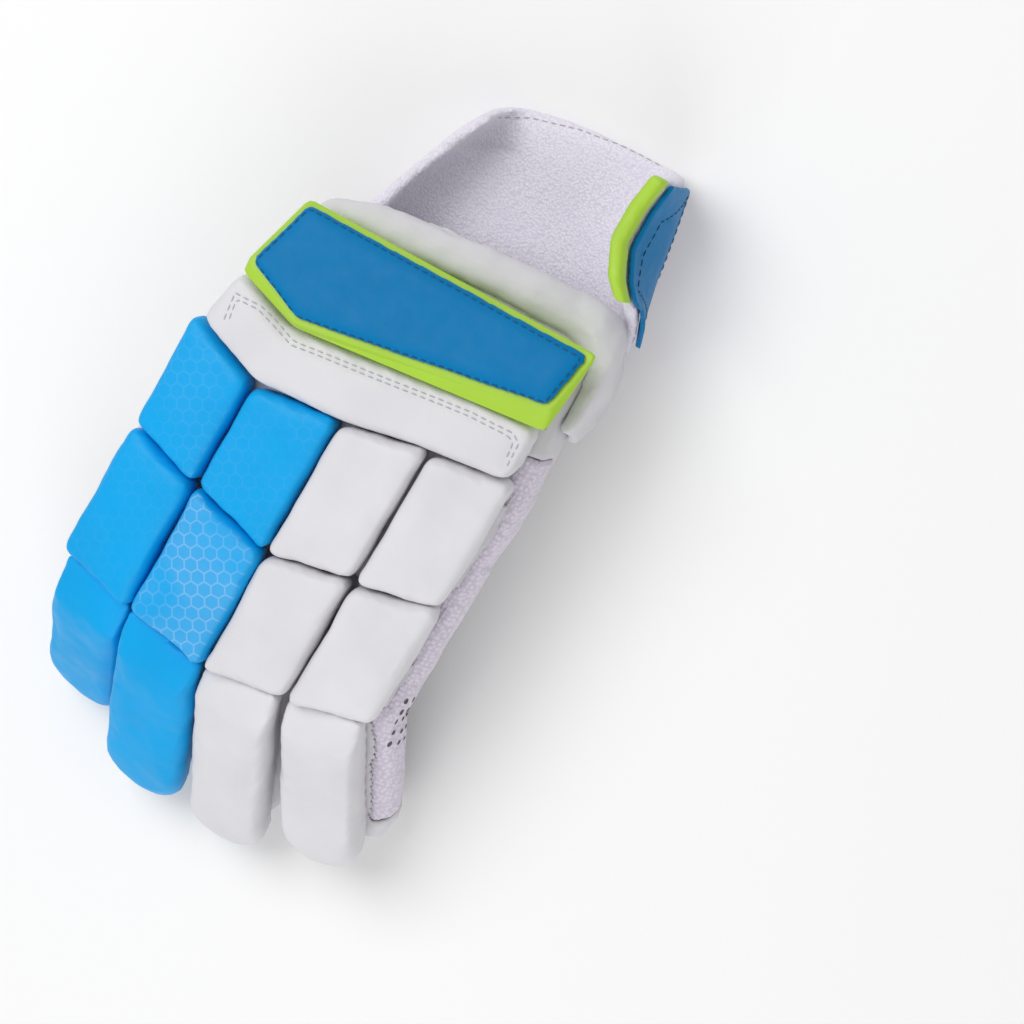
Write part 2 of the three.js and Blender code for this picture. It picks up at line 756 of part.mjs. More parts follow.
function cuffRim() {
  const edgeRow = (row) => {
    const outline = rounded(inset(cuffEdge, cuffUndercut * row.undercut), cuffCornerRadius);
    return ringAt(wristFrame, outline, fit + (cuffHeight - fit) * row.height);
  };
  const faceRow = (row) => {
    const outline = rounded(inset(cuffFace, -cuffMargin * row.margin), cuffCornerRadius);
    return ringAt(wristFrame, outline, cuffHeight * row.height);
  };
  return stack([
    edgeRow(rimFoot),
    edgeRow(rimShoulder),
    edgeRow(rimLip),
    faceRow(rimTop),
    faceRow(rimSeat),
  ]);
}

function cuffPad() {
  const rings = cuffProfile.map((row) => {
    const outline = rounded(inset(cuffFace, cuffCrown * row.inset), cuffCornerRadius);
    return ringAt(wristFrame, outline, cuffHeight + fit + cuffFaceHeight * row.height);
  });
  return stack(rings);
}

// The collar: a padded roll round the back and sides of the glove's mouth

function wristPoint(angle, share, lift) {
  const size = wristSection(Math.min(1, Math.max(wristSections[0].along, share)), lift);
  const turn = radians(angle);
  const cosine = Math.cos(turn);
  const sine = Math.sin(turn);
  const breadth = cosine < 0 ? size.left : size.right;
  const x = Math.sign(cosine) * breadth * Math.abs(cosine) ** (2 / ovalPower);
  const half = (size.top - size.bottom) / 2;
  const z = (size.top + size.bottom) / 2 + Math.sign(sine) * half * Math.abs(sine) ** (2 / ovalPower);
  return point(x, share * (wristLength + mouthShift(x, z)), z).applyMatrix4(wristFrame);
}

function wristCollar() {
  const surface = (rise) => collarStations.map((station) => {
    return collarProfile.map((row) => {
      const share = station.front + (1 - station.front) * row.reach;
      const lift = rise ? fit + collarHeight * station.swell * row.rise : sunk;
      return wristPoint(station.angle, share, lift);
    });
  });
  return panel(surface(true), surface(false));
}

// The wrist strap: a towelling band from the palm side of the mouth, with one edge standing up
// on the little finger side

const strapColumns = 17;

// How the band turns from its two walls into its floor: across in shares of its breadth from
// each wall and rise in shares of the wall's height
const strapBends = {
  left: [
    { across: 0, rise: 0.45 },
    { across: 0.1, rise: 0.1 },
    { across: 0.31, rise: 0 },
  ],
  right: [
    { across: 0.31, rise: 0 },
    { across: 0.066, rise: 0.12 },
    { across: 0, rise: 0.5 },
  ],
};

function heightInWrist(height, along) {
  const drop = radians(wristDrop);
  return (floor + height * restHeight + along * Math.sin(drop)) / Math.cos(drop);
}

function strapCurve(row, lift) {
  const near = wristLength;
  const middle = near + row.along * strapLength;
  const half = wristBreadth / 2;
  const left = -row.left * half - lift;
  const right = row.right * half + lift;
  const under = heightInWrist(0, middle) - lift;
  const leftTop = heightInWrist(row.leftTop, middle);
  const rightTop = heightInWrist(row.rightTop, middle);
  const breadth = right - left;
  const points = [
    point(left, 0, leftTop),
    ...strapBends.left.map((bend) => {
      return point(left + bend.across * breadth, 0, THREE.MathUtils.lerp(under, leftTop, bend.rise));
    }),
    ...strapBends.right.map((bend) => {
      return point(right - bend.across * breadth, 0, THREE.MathUtils.lerp(under, rightTop, bend.rise));
    }),
    point(row.edge * half + lift, 0, rightTop),
  ];
  return new THREE.CatmullRomCurve3(points);
}

function strapRow(share) {
  const after = Math.max(1, strapSections.findIndex((row) => row.along >= share - 1e-6));
  const low = strapSections[after - 1];
  const high = strapSections[after];
  const mix = (share - low.along) / (high.along - low.along);
  const row = {};
  for (const key of Object.keys(low)) {
    row[key] = THREE.MathUtils.lerp(low[key], high[key], mix);
  }
  return row;
}

// A point of the strap: share runs from the mouth to the hem and round from the thumb side to
// the little finger side. depth is measured into the band from its outer face.
function strapPoint(share, round, depth) {
  const row = strapRow(share);
  const p = strapCurve(row, -depth).getPoint(round);
  const mouth = wristLength + mouthShift(p.x, p.z) + 2 * fit;
  const hem = wristLength + strapLength + hemBulge * Math.sin(Math.PI * round);
  p.y = THREE.MathUtils.lerp(mouth, hem, share);
  p.applyMatrix4(wristFrame);
  p.z = Math.max(p.z, floor + depth);
  return p;
}

const wholeStrap = { from: 0, to: 1, start: 0, end: 1 };

function strapSurface(depth, place) {
  return strapSections.map((row) => {
    const share = place.start + (place.end - place.start) * row.along;
    return spaced(place.from, place.to, strapColumns).map((round) => strapPoint(share, round, depth));
  });
}

function wristStrap() {
  return panel(strapSurface(0, wholeStrap), strapSurface(strapThickness, wholeStrap));
}

function strapTab() {
  const under = -2 * fit;
  return panel(strapSurface(under - tabThickness, tabPlace), strapSurface(under, tabPlace));
}

const bindingRings = 8;

// The binding lies along the strap's standing edge
function strapBinding() {
  const rings = spaced(0, 1, bindingRings).map((share) => {
    const outer = strapPoint(share, 1, 0);
    const inner = strapPoint(share, 1, strapThickness);
    const across = inner.clone().sub(outer).normalize();
    const seat = outer.clone().add(inner).divideScalar(2);
    seat.z = Math.max(outer.z, inner.z) + fit;
    return bindingSection.map((row) => {
      const p = seat.clone().addScaledVector(across, (row.side * bindingThickness) / 2);
      p.z = seat.z + row.rise * bindingHeight;
      return p;
    });
  });
  return stack(rings);
}

// The thumb's padded back and the small pad at its root

function thumbPoint(share, angle, lift) {
  const radius = thumbSize(share);
  const turn = radians(angle);
  const x = Math.cos(turn) * (radius + lift);
  const z = Math.sin(turn) * (radius * thumbRoundness + lift);
  return point(x, 0, z).applyMatrix4(thumbFrame(share));
}

// How far a pad bulges over its width or length, from a low edge to its middle
const bulge = (index, count, edge) => {
  const share = index / (count - 1);
  return Math.sin(Math.PI * (edge + (1 - 2 * edge) * share));
};
const padEdge = 0.16;

function thumbPad() {
  const shares = spaced(thumbPadRows.from, thumbPadRows.to, thumbPadRows.count);
  const angles = spaced(thumbPadColumns.from, thumbPadColumns.to, thumbPadColumns.count);
  const surface = (raised) => shares.map((share, i) => {
    return angles.map((angle, k) => {
      const rise = bulge(i, shares.length, padEdge) * bulge(k, angles.length, padEdge);
      return thumbPoint(share, angle, raised ? fit + thumbPadHeight * rise : sunk);
    });
  });
  return panel(surface(true), surface(false));
}

// The small flap pad between the cuff and the thumb, on the side of the wrist
function thumbFlap() {
  const reaches = spaced(0, 1, flapRows.length);
  const surface = (raised) => flapRows.map((row, i) => {
    return reaches.map((reach, k) => {
      const share = row.front + (row.rear - row.front) * reach;
      const last = flapRows.length - 1;
      const atEdge = i === 0 || i === last || k === 0 || k === last;
      const height = atEdge ? flapEdge * thumbFlapHeight : thumbFlapHeight;
      return wristPoint(row.angle, share, raised ? fit + height : sunk);
    });
  });
  return panel(surface(true), surface(false));
}

const parts = new Map();
parts.set('hand_shell', [handShell, 'white']);
parts.set('little_side_mesh', [littleSide, 'mesh']);
parts.set('index_side_panel', [indexSide, 'white']);
columns.forEach((column, i) => {
  parts.set(`finger_stall_${column.name}`, [fingerStalls[i], 'white']);
});
parts.set('thumb_stall', [thumbStall, 'white']);
for (const column of columns) {
  parts.set(`knuckle_pad_${column.name}`, [seated(knucklePad(column)), column.colour]);
  parts.set(`finger_pad_${column.name}`, [seated(fingerPad(column)), column.colour]);
  parts.set(`tip_pad_${column.name}`, [seated(tipPad(column)), column.colour]);
}
parts.set('knuckle_bar', [seated(knuckleBar()), 'white']);
parts.set('cuff_rim', [seated(cuffRim()), 'lime']);
parts.set('cuff_pad', [cuffPad(), 'cuffBlue']);
parts.set('wrist_collar', [seated(wristCollar()), 'white']);
parts.set('wrist_strap', [wristStrap(), 'towel']);
parts.set('strap_tab', [strapTab(), 'cuffBlue']);
parts.set('strap_binding', [strapBinding(), 'lime']);
parts.set('thumb_pad', [seated(thumbPad()), 'white']);
parts.set('thumb_flap', [seated(thumbFlap()), 'white']);

// The glove as a scene graph, with its origin under the middle of its box

function meshOf(name, solid, colour) {
  const mesh = solid.getMesh();
  const geometry = new THREE.BufferGeometry();
  geometry.setAttribute('position', new THREE.Float32BufferAttribute(mesh.vertProperties, 3));
  geometry.setIndex(Array.from(mesh.triVerts));
  geometry.computeVertexNormals();
  const material = new THREE.MeshStandardMaterial({ color: colours[colour], roughness: 0.6, metalness: 0 });
  const part = new THREE.Mesh(geometry, material);
  part.name = name;
  return part;
}

const glove = new THREE.Group();
for (const [name, [solid, colour]] of parts) {
  glove.add(meshOf(name, solid, colour));
}
const bounds = new THREE.Box3().setFromObject(glove);
const middle = bounds.getCenter(new THREE.Vector3());
glove.position.set(-middle.x, -middle.y, -bounds.min.z);

export default glove;
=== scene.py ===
"""Looks of a padded cricket batting glove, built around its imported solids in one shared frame."""

import json
import math

import bmesh
import bpy
import numpy as np
from mathutils import Matrix, Vector, noise
from mathutils.bvhtree import BVHTree

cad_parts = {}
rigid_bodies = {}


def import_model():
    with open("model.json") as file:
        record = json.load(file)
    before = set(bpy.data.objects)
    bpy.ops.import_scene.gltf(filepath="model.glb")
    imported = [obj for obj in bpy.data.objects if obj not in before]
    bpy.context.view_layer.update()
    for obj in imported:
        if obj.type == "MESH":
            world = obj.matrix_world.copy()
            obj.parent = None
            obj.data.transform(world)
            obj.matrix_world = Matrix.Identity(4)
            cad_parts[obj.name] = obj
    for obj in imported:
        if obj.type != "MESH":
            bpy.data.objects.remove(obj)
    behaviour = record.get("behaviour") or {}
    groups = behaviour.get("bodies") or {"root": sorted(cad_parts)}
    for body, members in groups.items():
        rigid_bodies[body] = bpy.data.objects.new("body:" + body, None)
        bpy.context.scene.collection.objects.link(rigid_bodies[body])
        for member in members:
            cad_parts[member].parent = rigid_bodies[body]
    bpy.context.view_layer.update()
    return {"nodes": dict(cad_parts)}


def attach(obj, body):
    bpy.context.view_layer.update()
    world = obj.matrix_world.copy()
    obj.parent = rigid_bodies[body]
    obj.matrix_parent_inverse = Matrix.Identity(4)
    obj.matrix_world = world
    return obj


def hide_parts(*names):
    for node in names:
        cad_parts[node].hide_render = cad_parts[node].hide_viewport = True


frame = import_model()

bl_info = {
    "name": "Cricket batting glove",
    "version": (1, 0, 0),
    "blender": (4, 5, 0),
    "location": "View3D > Sidebar > Glove",
    "description": "Foam pads, cuff, collar, towelling strap and stitching of a batting glove",
    "category": "Object",
}

MM = 0.001
FINGERS = ("index", "middle", "ring", "little")


# Sizes and colours


def length(name, description, default_mm, low=0.0, high=100.0):
    """A length property, in metres, from a default in millimetres."""
    return bpy.props.FloatProperty(
        name=name,
        description=description,
        default=default_mm * MM,
        min=low * MM,
        max=high * MM,
        unit="LENGTH",
        precision=5,
    )


def share(name, description, default):
    """A share from 0 to 1."""
    return bpy.props.FloatProperty(
        name=name, description=description, default=default, min=0.0, max=1.0, subtype="FACTOR"
    )


def colour(name, description, default):
    """A colour, linear."""
    return bpy.props.FloatVectorProperty(
        name=name, description=description, default=default, size=3, min=0.0, max=1.0, subtype="COLOR"
    )


class GloveColours(bpy.types.PropertyGroup):
    blue: colour("Pad blue", "Blue leather of the index and middle finger", (0.002, 0.375, 0.810))
    cuff_blue: colour("Cuff blue", "Leather of the cuff's face and the tab", (0.0, 0.180, 0.440))
    white: colour("White leather", "White leather of the pads", (0.715, 0.705, 0.735))
    shell: colour("Palm leather", "White leather of the palm and stalls", (0.680, 0.670, 0.700))
    lime: colour("Lime", "Lime green of the cuff's edge and the binding", (0.400, 0.640, 0.050))
    towel: colour("Towelling", "Looped cloth of the wrist strap", (0.850, 0.815, 0.945))
    mesh: colour("Side mesh", "Pebbled mesh along the little finger", (0.740, 0.675, 0.790))
    # The pale thread is grey partly for its own colour and partly as painted shade for the shadows on the
    # stitches
    thread_pale_painted_shade: colour("Pale thread with painted shade", "Stitches in white leather and cloth", (0.480, 0.465, 0.510))
    thread_dark: colour("Dark thread", "Stitches in blue leather", (0.006, 0.060, 0.160))


class GlovePadding(bpy.types.PropertyGroup):
    pad_voxel: length("Pad grain", "Edge length of the faces on the pads", 1.4, 0.5, 4.0)
    thumb_voxel: length("Thumb grain", "Edge length of the faces on the thumb's pads", 1.1, 0.5, 4.0)
    strap_voxel: length("Strap grain", "Edge length of the faces on the towelling strap", 1.7, 0.5, 4.0)
    trim_voxel: length("Trim grain", "Edge length of the faces on the tab and the binding", 0.8, 0.5, 4.0)
    face_voxel: length("Cuff grain", "Edge length of the faces on the cuff's blue face", 0.7, 0.5, 4.0)
    shell_voxel: length("Palm grain", "Edge length of the faces on the leather palm", 1.1, 0.5, 4.0)
    stall_voxel: length("Stall grain", "Edge length of the faces on stalls and side panels", 0.9, 0.5, 4.0)
    pressure: bpy.props.FloatProperty(
        name="Pressure", description="How hard the foam fills its leather", default=4.0, min=0.0
    )
    swell: length("Swell", "Most that a pad's surface moves outwards", 1.3, 0.0, 5.0)
    seat: share("Seat", "Share of a pad's thickness that stays as it is, under the swelling", 0.3)
    pucker: length("Pucker", "Depth of the gathers round a pad's foot", 0.24, 0.0, 1.0)
    corner: length("Corner", "How far a pad's corners are drawn out to their seams", 0.9, 0.0, 3.0)
    rim_edge: length("Rim edge", "Rounding of the edges of the cuff's rim", 0.3, 0.0, 1.0)
    fullness: length("Fullness", "How far a pad's sides stand out towards its neighbours", 0.4, 0.0, 2.0)
    frames: bpy.props.IntProperty(name="Frames", description="Steps of the swelling", default=20, min=2)


class GloveStitching(bpy.types.PropertyGroup):
    stitch: length("Stitch", "Length of one stitch", 1.9, 0.5, 6.0)
    gap: length("Gap", "Space between two stitches", 0.65, 0.1, 4.0)
    thread: length("Thread", "Half the thickness of the thread", 0.23, 0.05, 1.0)
    sink: share("Sink", "How deep a stitch lies in the leather, as a share of the thread", 0.35)


class GloveStage(bpy.types.PropertyGroup):
    floor: colour("Floor", "Pale floor under the glove", (0.93, 0.93, 0.93))
    sky: bpy.props.FloatProperty(
        name="Sky", description="Strength of the even light", default=0.44, min=0.0
    )
    key: bpy.props.FloatProperty(
        name="Key light", description="Power of the main soft light", default=11.0, min=0.0
    )


GROUPS = {
    "glove_colours": GloveColours,
    "glove_padding": GlovePadding,
    "glove_stitching": GloveStitching,
    "glove_stage": GloveStage,
}


# Materials


class Shader:
    """A material's node tree, with the few steps that the glove's finishes share."""

    def __init__(self, name, roughness, sheen=0.0, shine=0.5):
        self.material = bpy.data.materials.new(name)
        self.material.use_nodes = True
        self.tree = self.material.node_tree
        self.surface = self.tree.nodes["Principled BSDF"]
        self.surface.inputs["Roughness"].default_value = roughness
        self.surface.inputs["Sheen Weight"].default_value = sheen
        self.surface.inputs["Specular IOR Level"].default_value = shine
        places = self.node("ShaderNodeTexCoord").outputs
        self.place = places["Object"]
        self.facing = places["Normal"]
        self.normal = None

    def node(self, kind, **settings):
        """A new node with its settings."""
        made = self.tree.nodes.new(kind)
        for key, value in settings.items():
            setattr(made, key, value)
        return made

    def link(self, source, target):
        self.tree.links.new(source, target)

    def value(self, operation, first, second):
        """A Math node of two sockets or numbers."""
        made = self.node("ShaderNodeMath", operation=operation)
        for socket, given in zip(made.inputs, (first, second)):
            self.feed(socket, given)
        return made.outputs[0]

    def vector(self, operation, first, second=(0.0, 0.0, 0.0)):
        """A Vector Math node of one or two sockets or vectors."""
        made = self.node("ShaderNodeVectorMath", operation=operation)
        for socket, given in zip(made.inputs, (first, second)):
            self.feed(socket, given)
        return made.outputs["Value"] if operation == "DOT_PRODUCT" else made.outputs["Vector"]

    def feed(self, socket, given):
        """Links a socket to what is given, or sets it to a given value."""
        if isinstance(given, bpy.types.NodeSocket):
            self.link(given, socket)
        else:
            socket.default_value = given

    def speckle(self, size, detail=2.0, roughness=0.5):
        """Noise with features of a size in metres, from 0 to 1."""
        mapping = self.node("ShaderNodeMapping")
        mapping.inputs["Scale"].default_value = (1 / size, 1 / size, 1 / size)
        self.link(self.place, mapping.inputs["Vector"])
        made = self.node("ShaderNodeTexNoise")
        made.inputs["Scale"].default_value = 1.0
        made.inputs["Detail"].default_value = detail
        made.inputs["Roughness"].default_value = roughness
        self.link(mapping.outputs["Vector"], made.inputs["Vector"])
        return made.outputs["Fac"]

    def cells(self, size, randomness=1.0):
        """Distance from the middle of the nearest of many cells of a size in metres."""
        made = self.node("ShaderNodeTexVoronoi")
        made.inputs["Scale"].default_value = 1.0 / size
        made.inputs["Randomness"].default_value = randomness
        self.link(self.place, made.inputs["Vector"])
        return made.outputs["Distance"]

    def ramp(self, source, low, high, start=0.0, end=1.0):
        """source from low..high to start..end, held at the ends."""
        made = self.node("ShaderNodeMapRange")
        made.clamp = True
        self.feed(made.inputs["Value"], source)
        for name, given in zip(("From Min", "From Max", "To Min", "To Max"), (low, high, start, end)):
            made.inputs[name].default_value = given
        return made.outputs["Result"]

    def mix(self, factor, first, second):
        """The first colour, or the second where the factor is 1."""
        made = self.node("ShaderNodeMix", data_type="RGBA")
        sockets = [s for s in made.inputs if s.type == "RGBA"]
        self.feed(made.inputs["Factor"], factor)
        for socket, given in zip(sockets, (first, second)):
            self.feed(socket, given if isinstance(given, bpy.types.NodeSocket) else (*given, 1.0))
        return next(s for s in made.outputs if s.type == "RGBA")

    def bump(self, height, strength, distance):
        """Relief of a height from 0 to 1 that is a distance in metres deep."""
        made = self.node("ShaderNodeBump")
        made.inputs["Strength"].default_value = strength
        made.inputs["Distance"].default_value = distance
        self.feed(made.inputs["Height"], height)
        if self.normal is not None:
            self.link(self.normal, made.inputs["Normal"])
        self.normal = made.outputs["Normal"]

    def finish(self, base, roughness=None):
        """Links the base colour, the roughness and the relief, and gives the material."""
        self.link(base, self.surface.inputs["Base Color"])
        if roughness is not None:
            self.link(roughness, self.surface.inputs["Roughness"])
        if self.normal is not None:
            self.link(self.normal, self.surface.inputs["Normal"])
        return self.material


def shade(tint, factor):
    """A lighter or darker tint."""
    return tuple(min(1.0, c * factor) for c in tint)


# The printed honeycomb: a cell's breadth, the turn of its rows, and where its lines begin and are full
HONEYCOMB_CELL = 4.3 * MM
HONEYCOMB_TURN = math.radians(31)
HONEYCOMB_LINE = {"low": 0.41, "high": 0.475}
HONEYCOMB_FAR = 100
HEX = math.sqrt(3)

# How strongly the honeycomb is printed on each pad that has one
HONEYCOMB = {
    "finger_pad_middle": 1.0,
    "knuckle_pad_middle": 0.1,
    "knuckle_pad_index": 0.16,
    "finger_pad_index": 0.07,
}


def honeycomb_line(made):
    """1 on the lines of a honeycomb that is printed from above, 0 inside its cells."""
    mapping = made.node("ShaderNodeMapping")
    mapping.inputs["Scale"].default_value = (1 / HONEYCOMB_CELL, 1 / HONEYCOMB_CELL, 0.0)
    mapping.inputs["Rotation"].default_value = (0.0, 0.0, -HONEYCOMB_TURN)
    made.link(made.place, mapping.inputs["Vector"])
    place = mapping.outputs["Vector"]
    period = (1.0, HEX, 1.0)
    half = (0.5, HEX / 2, 0.0)
    # A far offset keeps the remainders positive all over the glove
    place = made.vector("ADD", place, (HONEYCOMB_FAR, HONEYCOMB_FAR * HEX, 0.5))
    first = made.vector("SUBTRACT", made.vector("MODULO", place, period), half)
    shifted = made.vector("ADD", place, half)
    second = made.vector("SUBTRACT", made.vector("MODULO", shifted, period), half)
    flat = (1.0, 1.0, 0.0)
    first, second = made.vector("MULTIPLY", first, flat), made.vector("MULTIPLY", second, flat)
    nearer = made.value(
        "LESS_THAN",
        made.vector("DOT_PRODUCT", second, second),
        made.vector("DOT_PRODUCT", first, first),
    )
    chosen = made.node("ShaderNodeMix", data_type="VECTOR")
    made.feed(chosen.inputs["Factor"], nearer)
    ends = [s for s in chosen.inputs if s.type == "VECTOR" and s.name in ("A", "B")]
    made.feed(ends[0], first)
    made.feed(ends[1], second)
    cell = next(s for s in chosen.outputs if s.type == "VECTOR")
    cell = made.vector("ABSOLUTE", cell)
    slant = made.vector("DOT_PRODUCT", cell, half)
    side = made.vector("DOT_PRODUCT", cell, (1.0, 0.0, 0.0))
    reach = made.value("MAXIMUM", slant, side)
    return made.ramp(reach, **HONEYCOMB_LINE)


def print_honeycomb(made, base, tint, amount):
    """Prints the honeycomb over a leather's base colour, faded in patches and on steep sides."""
    line = honeycomb_line(made)
    upright = made.vector("DOT_PRODUCT", made.facing, (0.0, 0.0, 1.0))
    fade = made.ramp(made.speckle(17 * MM, detail=1.5), low=0.34, high=0.62, start=0.25)
    fade = made.value("MULTIPLY", fade, made.ramp(upright, low=0.55, high=0.8))
    print_mark = made.value("MULTIPLY", made.value("MULTIPLY", line, fade), amount)
    cell_light = made.value("MULTIPLY", fade, 0.16 * amount)
    pale = tuple(c + (1 - c) * 0.34 for c in tint)
    base = made.mix(cell_light, base, pale)
    base = made.mix(made.value("MULTIPLY", print_mark, 0.45), base, pale)
    relief = made.value("MULTIPLY", line, fade)
    made.bump(relief, strength=0.5 * amount, distance=0.16 * MM)
    return base


# The glove's leathers: how rough they are, how strongly they shine and how deep they crease
LEATHERS = {
    "blue pads": {"roughness": 0.44, "shine": 0.18, "crease": 0.35},
    "white pads": {"roughness": 0.44, "shine": 0.26, "crease": 0.35},
    "thumb": {"roughness": 0.46, "shine": 0.26, "crease": 0.35},
    "cuff": {"roughness": 0.42, "shine": 0.1, "crease": 0.35},
    "cuff edge": {"roughness": 0.4, "shine": 0.26, "crease": 0.2},
    "binding": {"roughness": 0.4, "shine": 0.26, "crease": 0.25},
    "collar": {"roughness": 0.5, "shine": 0.26, "crease": 0.35},
    "palm": {"roughness": 0.55, "shine": 0.26, "crease": 0.6},
}


def leather(name, tint, kind, honeycomb=0.0):
    """Soft leather with fine grain, faint handling creases and, on some pads, a printed honeycomb."""
    row = LEATHERS[kind]
    made = Shader(name, row["roughness"], shine=row["shine"])
    patches = made.speckle(28 * MM, detail=3.0)
    base = made.mix(made.ramp(patches, low=0.3, high=0.7), shade(tint, 0.95), shade(tint, 1.03))
    wear = made.speckle(9 * MM, detail=4.0, roughness=0.65)
    base = made.mix(made.ramp(wear, low=0.62, high=0.8, end=0.22), base, shade(tint, 1.12))
    if honeycomb:
        base = print_honeycomb(made, base, tint, honeycomb)
    made.bump(made.cells(0.75 * MM), strength=0.16, distance=0.10 * MM)
    made.bump(made.speckle(0.45 * MM, detail=3.0), strength=0.12, distance=0.08 * MM)
    creases = made.speckle(7 * MM, detail=4.0, roughness=0.6)
    made.bump(creases, strength=row["crease"], distance=0.35 * MM)
    smooth, worn = row["roughness"] - 0.05, row["roughness"] + 0.07
    gloss = made.ramp(made.speckle(5 * MM, detail=3.0), low=0.3, high=0.7, start=smooth, end=worn)
    return made.finish(base, gloss)


def towelling(name, tint):
    """Looped cotton: small tufts, with painted shade between them."""
    made = Shader(name, roughness=0.95, sheen=0.35)
    loops = made.cells(0.85 * MM)
    fuzz = made.speckle(0.5 * MM, detail=4.0, roughness=0.7)
    worn = made.speckle(14 * MM, detail=3.0)
    # Painted shade: the colour is darker where the loops' relief is low, between the tufts
    base = made.mix(made.ramp(loops, low=0.15, high=0.75), shade(tint, 1.1), shade(tint, 0.86))
    base = made.mix(made.ramp(fuzz, low=0.35, high=0.7, end=0.5), base, shade(tint, 1.16))
    base = made.mix(made.ramp(worn, low=0.35, high=0.7, end=0.35), base, shade(tint, 0.92))
    made.bump(made.value("SUBTRACT", 1.0, loops), strength=0.7, distance=0.4 * MM)
    made.bump(fuzz, strength=0.5, distance=0.25 * MM)
    return made.finish(base)


def pebbled_mesh(name, tint):
    """Soft mesh cloth with small rounded pebbles, with painted shade in the hollows between them."""
    made = Shader(name, roughness=0.78, sheen=0.2)
    pebbles = made.cells(1.5 * MM, randomness=0.6)
    # Painted shade: darker in the hollows between the pebbles, where their relief is low
    hollow_painted_shade = made.ramp(pebbles, low=0.3, high=0.65)
    base = made.mix(hollow_painted_shade, shade(tint, 1.06), shade(tint, 0.84))
    patches = made.speckle(12 * MM, detail=3.0)
    base = made.mix(made.ramp(patches, low=0.35, high=0.7, end=0.3), base, shade(tint, 1.15))
    made.bump(made.value("SUBTRACT", 1.0, pebbles), strength=0.8, distance=0.5 * MM)
    made.bump(made.speckle(0.5 * MM, detail=3.0), strength=0.25, distance=0.1 * MM)
    return made.finish(base)


def thread(name, tint):
    """Twisted sewing thread."""
    made = Shader(name, roughness=0.7)
    twist = made.speckle(0.35 * MM, detail=2.0)
    base = made.mix(twist, shade(tint, 0.8), shade(tint, 1.15))
    made.bump(twist, strength=0.5, distance=0.06 * MM)
    return made.finish(base)


def vent_painted_shade(name, tint):
    """The painted shade in a vent hole, as the colour of a thin disc."""
    made = Shader(name, roughness=0.9)
    return made.finish(made.mix(made.speckle(1.0 * MM), shade(tint, 0.10), shade(tint, 0.18)))


# Meshes


# Edges that turn by more than this are sharp
SHARP = math.radians(24)

# Length of one gather in the leather at a pad's foot
PLEAT = 0.62 * MM

# Keeps a division by a length from failing where nothing moved
TINY = 1e-9

# Points of a solid, and of its bevelled edges, that are closer than this are one point
SAME_POINT = 0.01 * MM
SAME_BEVEL_POINT = 0.02 * MM

# How far one step of smoothing goes, and how far the step back goes that keeps the size
SMOOTH_STEP = 0.5
SMOOTH_BACK = -0.53

# How far a rim's flat faces outweigh its rounded edges in the shading
FLAT_WEIGHT = 90

# Where the gathers and the fullness of a pad begin and are full: shares of its height from its foot
# up, and of its reach from its middle out
PLEAT_TOP = (0.35, 0.85)
PLEAT_CORNER = (0.55, 0.95)
PLEAT_BETWEEN_CORNERS = 0.35
PLEAT_DRIFT = {"amount": 2.0, "turns": 5}
FULL_SIDE = (0.15, 0.6)
DRAWN_CORNER = (0.82, 1.0)

# How squarely a surface has to face a furrow for a shallow and for a full one
FURROW_FACING = (0.2, 0.6)

# How far apart the dents of two seeds lie, along each axis
SEED_STEPS = (1.7, 3.1, 0.7)

# Rounds of smoothing after a piece's remesh
SMOOTHING = {
    "pad": 1,
    "bar": 2,
    "cuff face": 10,
    "collar": 5,
    "strap": 2,
    "tab": 1,
    "binding": 3,
    "thumb": 3,
}
LEATHER_ROUNDS = 6

# Soft dents of the pieces: depth and wave in millimetres, and the seed of their order
DENTS = {
    "pad": ({"depth": 0.7, "wave": 15, "seed": 0}, {"depth": 0.2, "wave": 5, "seed": 60}),
    "bar": ({"depth": 0.5, "wave": 18, "seed": 21},),
    "cuff face": ({"depth": 0.3, "wave": 16, "seed": 31},),
    "collar": ({"depth": 0.9, "wave": 13, "seed": 41}, {"depth": 0.35, "wave": 4.5, "seed": 42}),
    "leather": ({"depth": 0.45, "wave": 9, "seed": 50},),
    "strap": ({"depth": 1.0, "wave": 22, "seed": 71}, {"depth": 0.16, "wave": 2.4, "seed": 72}),
    "binding": ({"depth": 0.3, "wave": 7, "seed": 75},),
    "thumb": ({"depth": 0.4, "wave": 6, "seed": 81},),
}


def place_object(name, data):
    """A new object in the scene."""
    made = bpy.data.objects.new(name, data)
    bpy.context.scene.collection.objects.link(made)
    return made


def take_shape(name, shape):
    """A new object with the mesh of a finished bmesh."""
    mesh = bpy.data.meshes.new(name)
    shape.to_mesh(mesh)
    shape.free()
    return place_object(name, mesh)


def copy_node(name, node):
    """A new object with the merged mesh of one of the glove's solids."""
    mesh = frame["nodes"][node].data.copy()
    mesh.name = name
    mesh.materials.clear()
    for attribute in list(mesh.attributes):
        if attribute.name.startswith("custom_normal"):
            mesh.attributes.remove(attribute)
    shape = bmesh.new()
    shape.from_mesh(mesh)
    bmesh.ops.remove_doubles(shape, verts=shape.verts, dist=SAME_POINT)
    shape.to_mesh(mesh)
    shape.free()
    return place_object(name, mesh)


def settle(piece):
    """Replaces a piece's mesh by what its modifiers make of it."""
    depsgraph = bpy.context.evaluated_depsgraph_get()
    made = bpy.data.meshes.new_from_object(piece.evaluated_get(depsgraph))
    piece.modifiers.clear()
    old = piece.data
    made.name = old.name
    piece.data = made
    bpy.data.meshes.remove(old)


def read_points(mesh, field="co", of="vertices"):
    """A mesh's points as an array, or another of its fields of three numbers."""
    values = np.zeros(len(getattr(mesh, of)) * 3)
    getattr(mesh, of).foreach_get(field, values)
    return values.reshape(-1, 3)


def write_points(mesh, points):
    """Moves a mesh's points."""
    mesh.vertices.foreach_set("co", points.ravel())
    mesh.update()


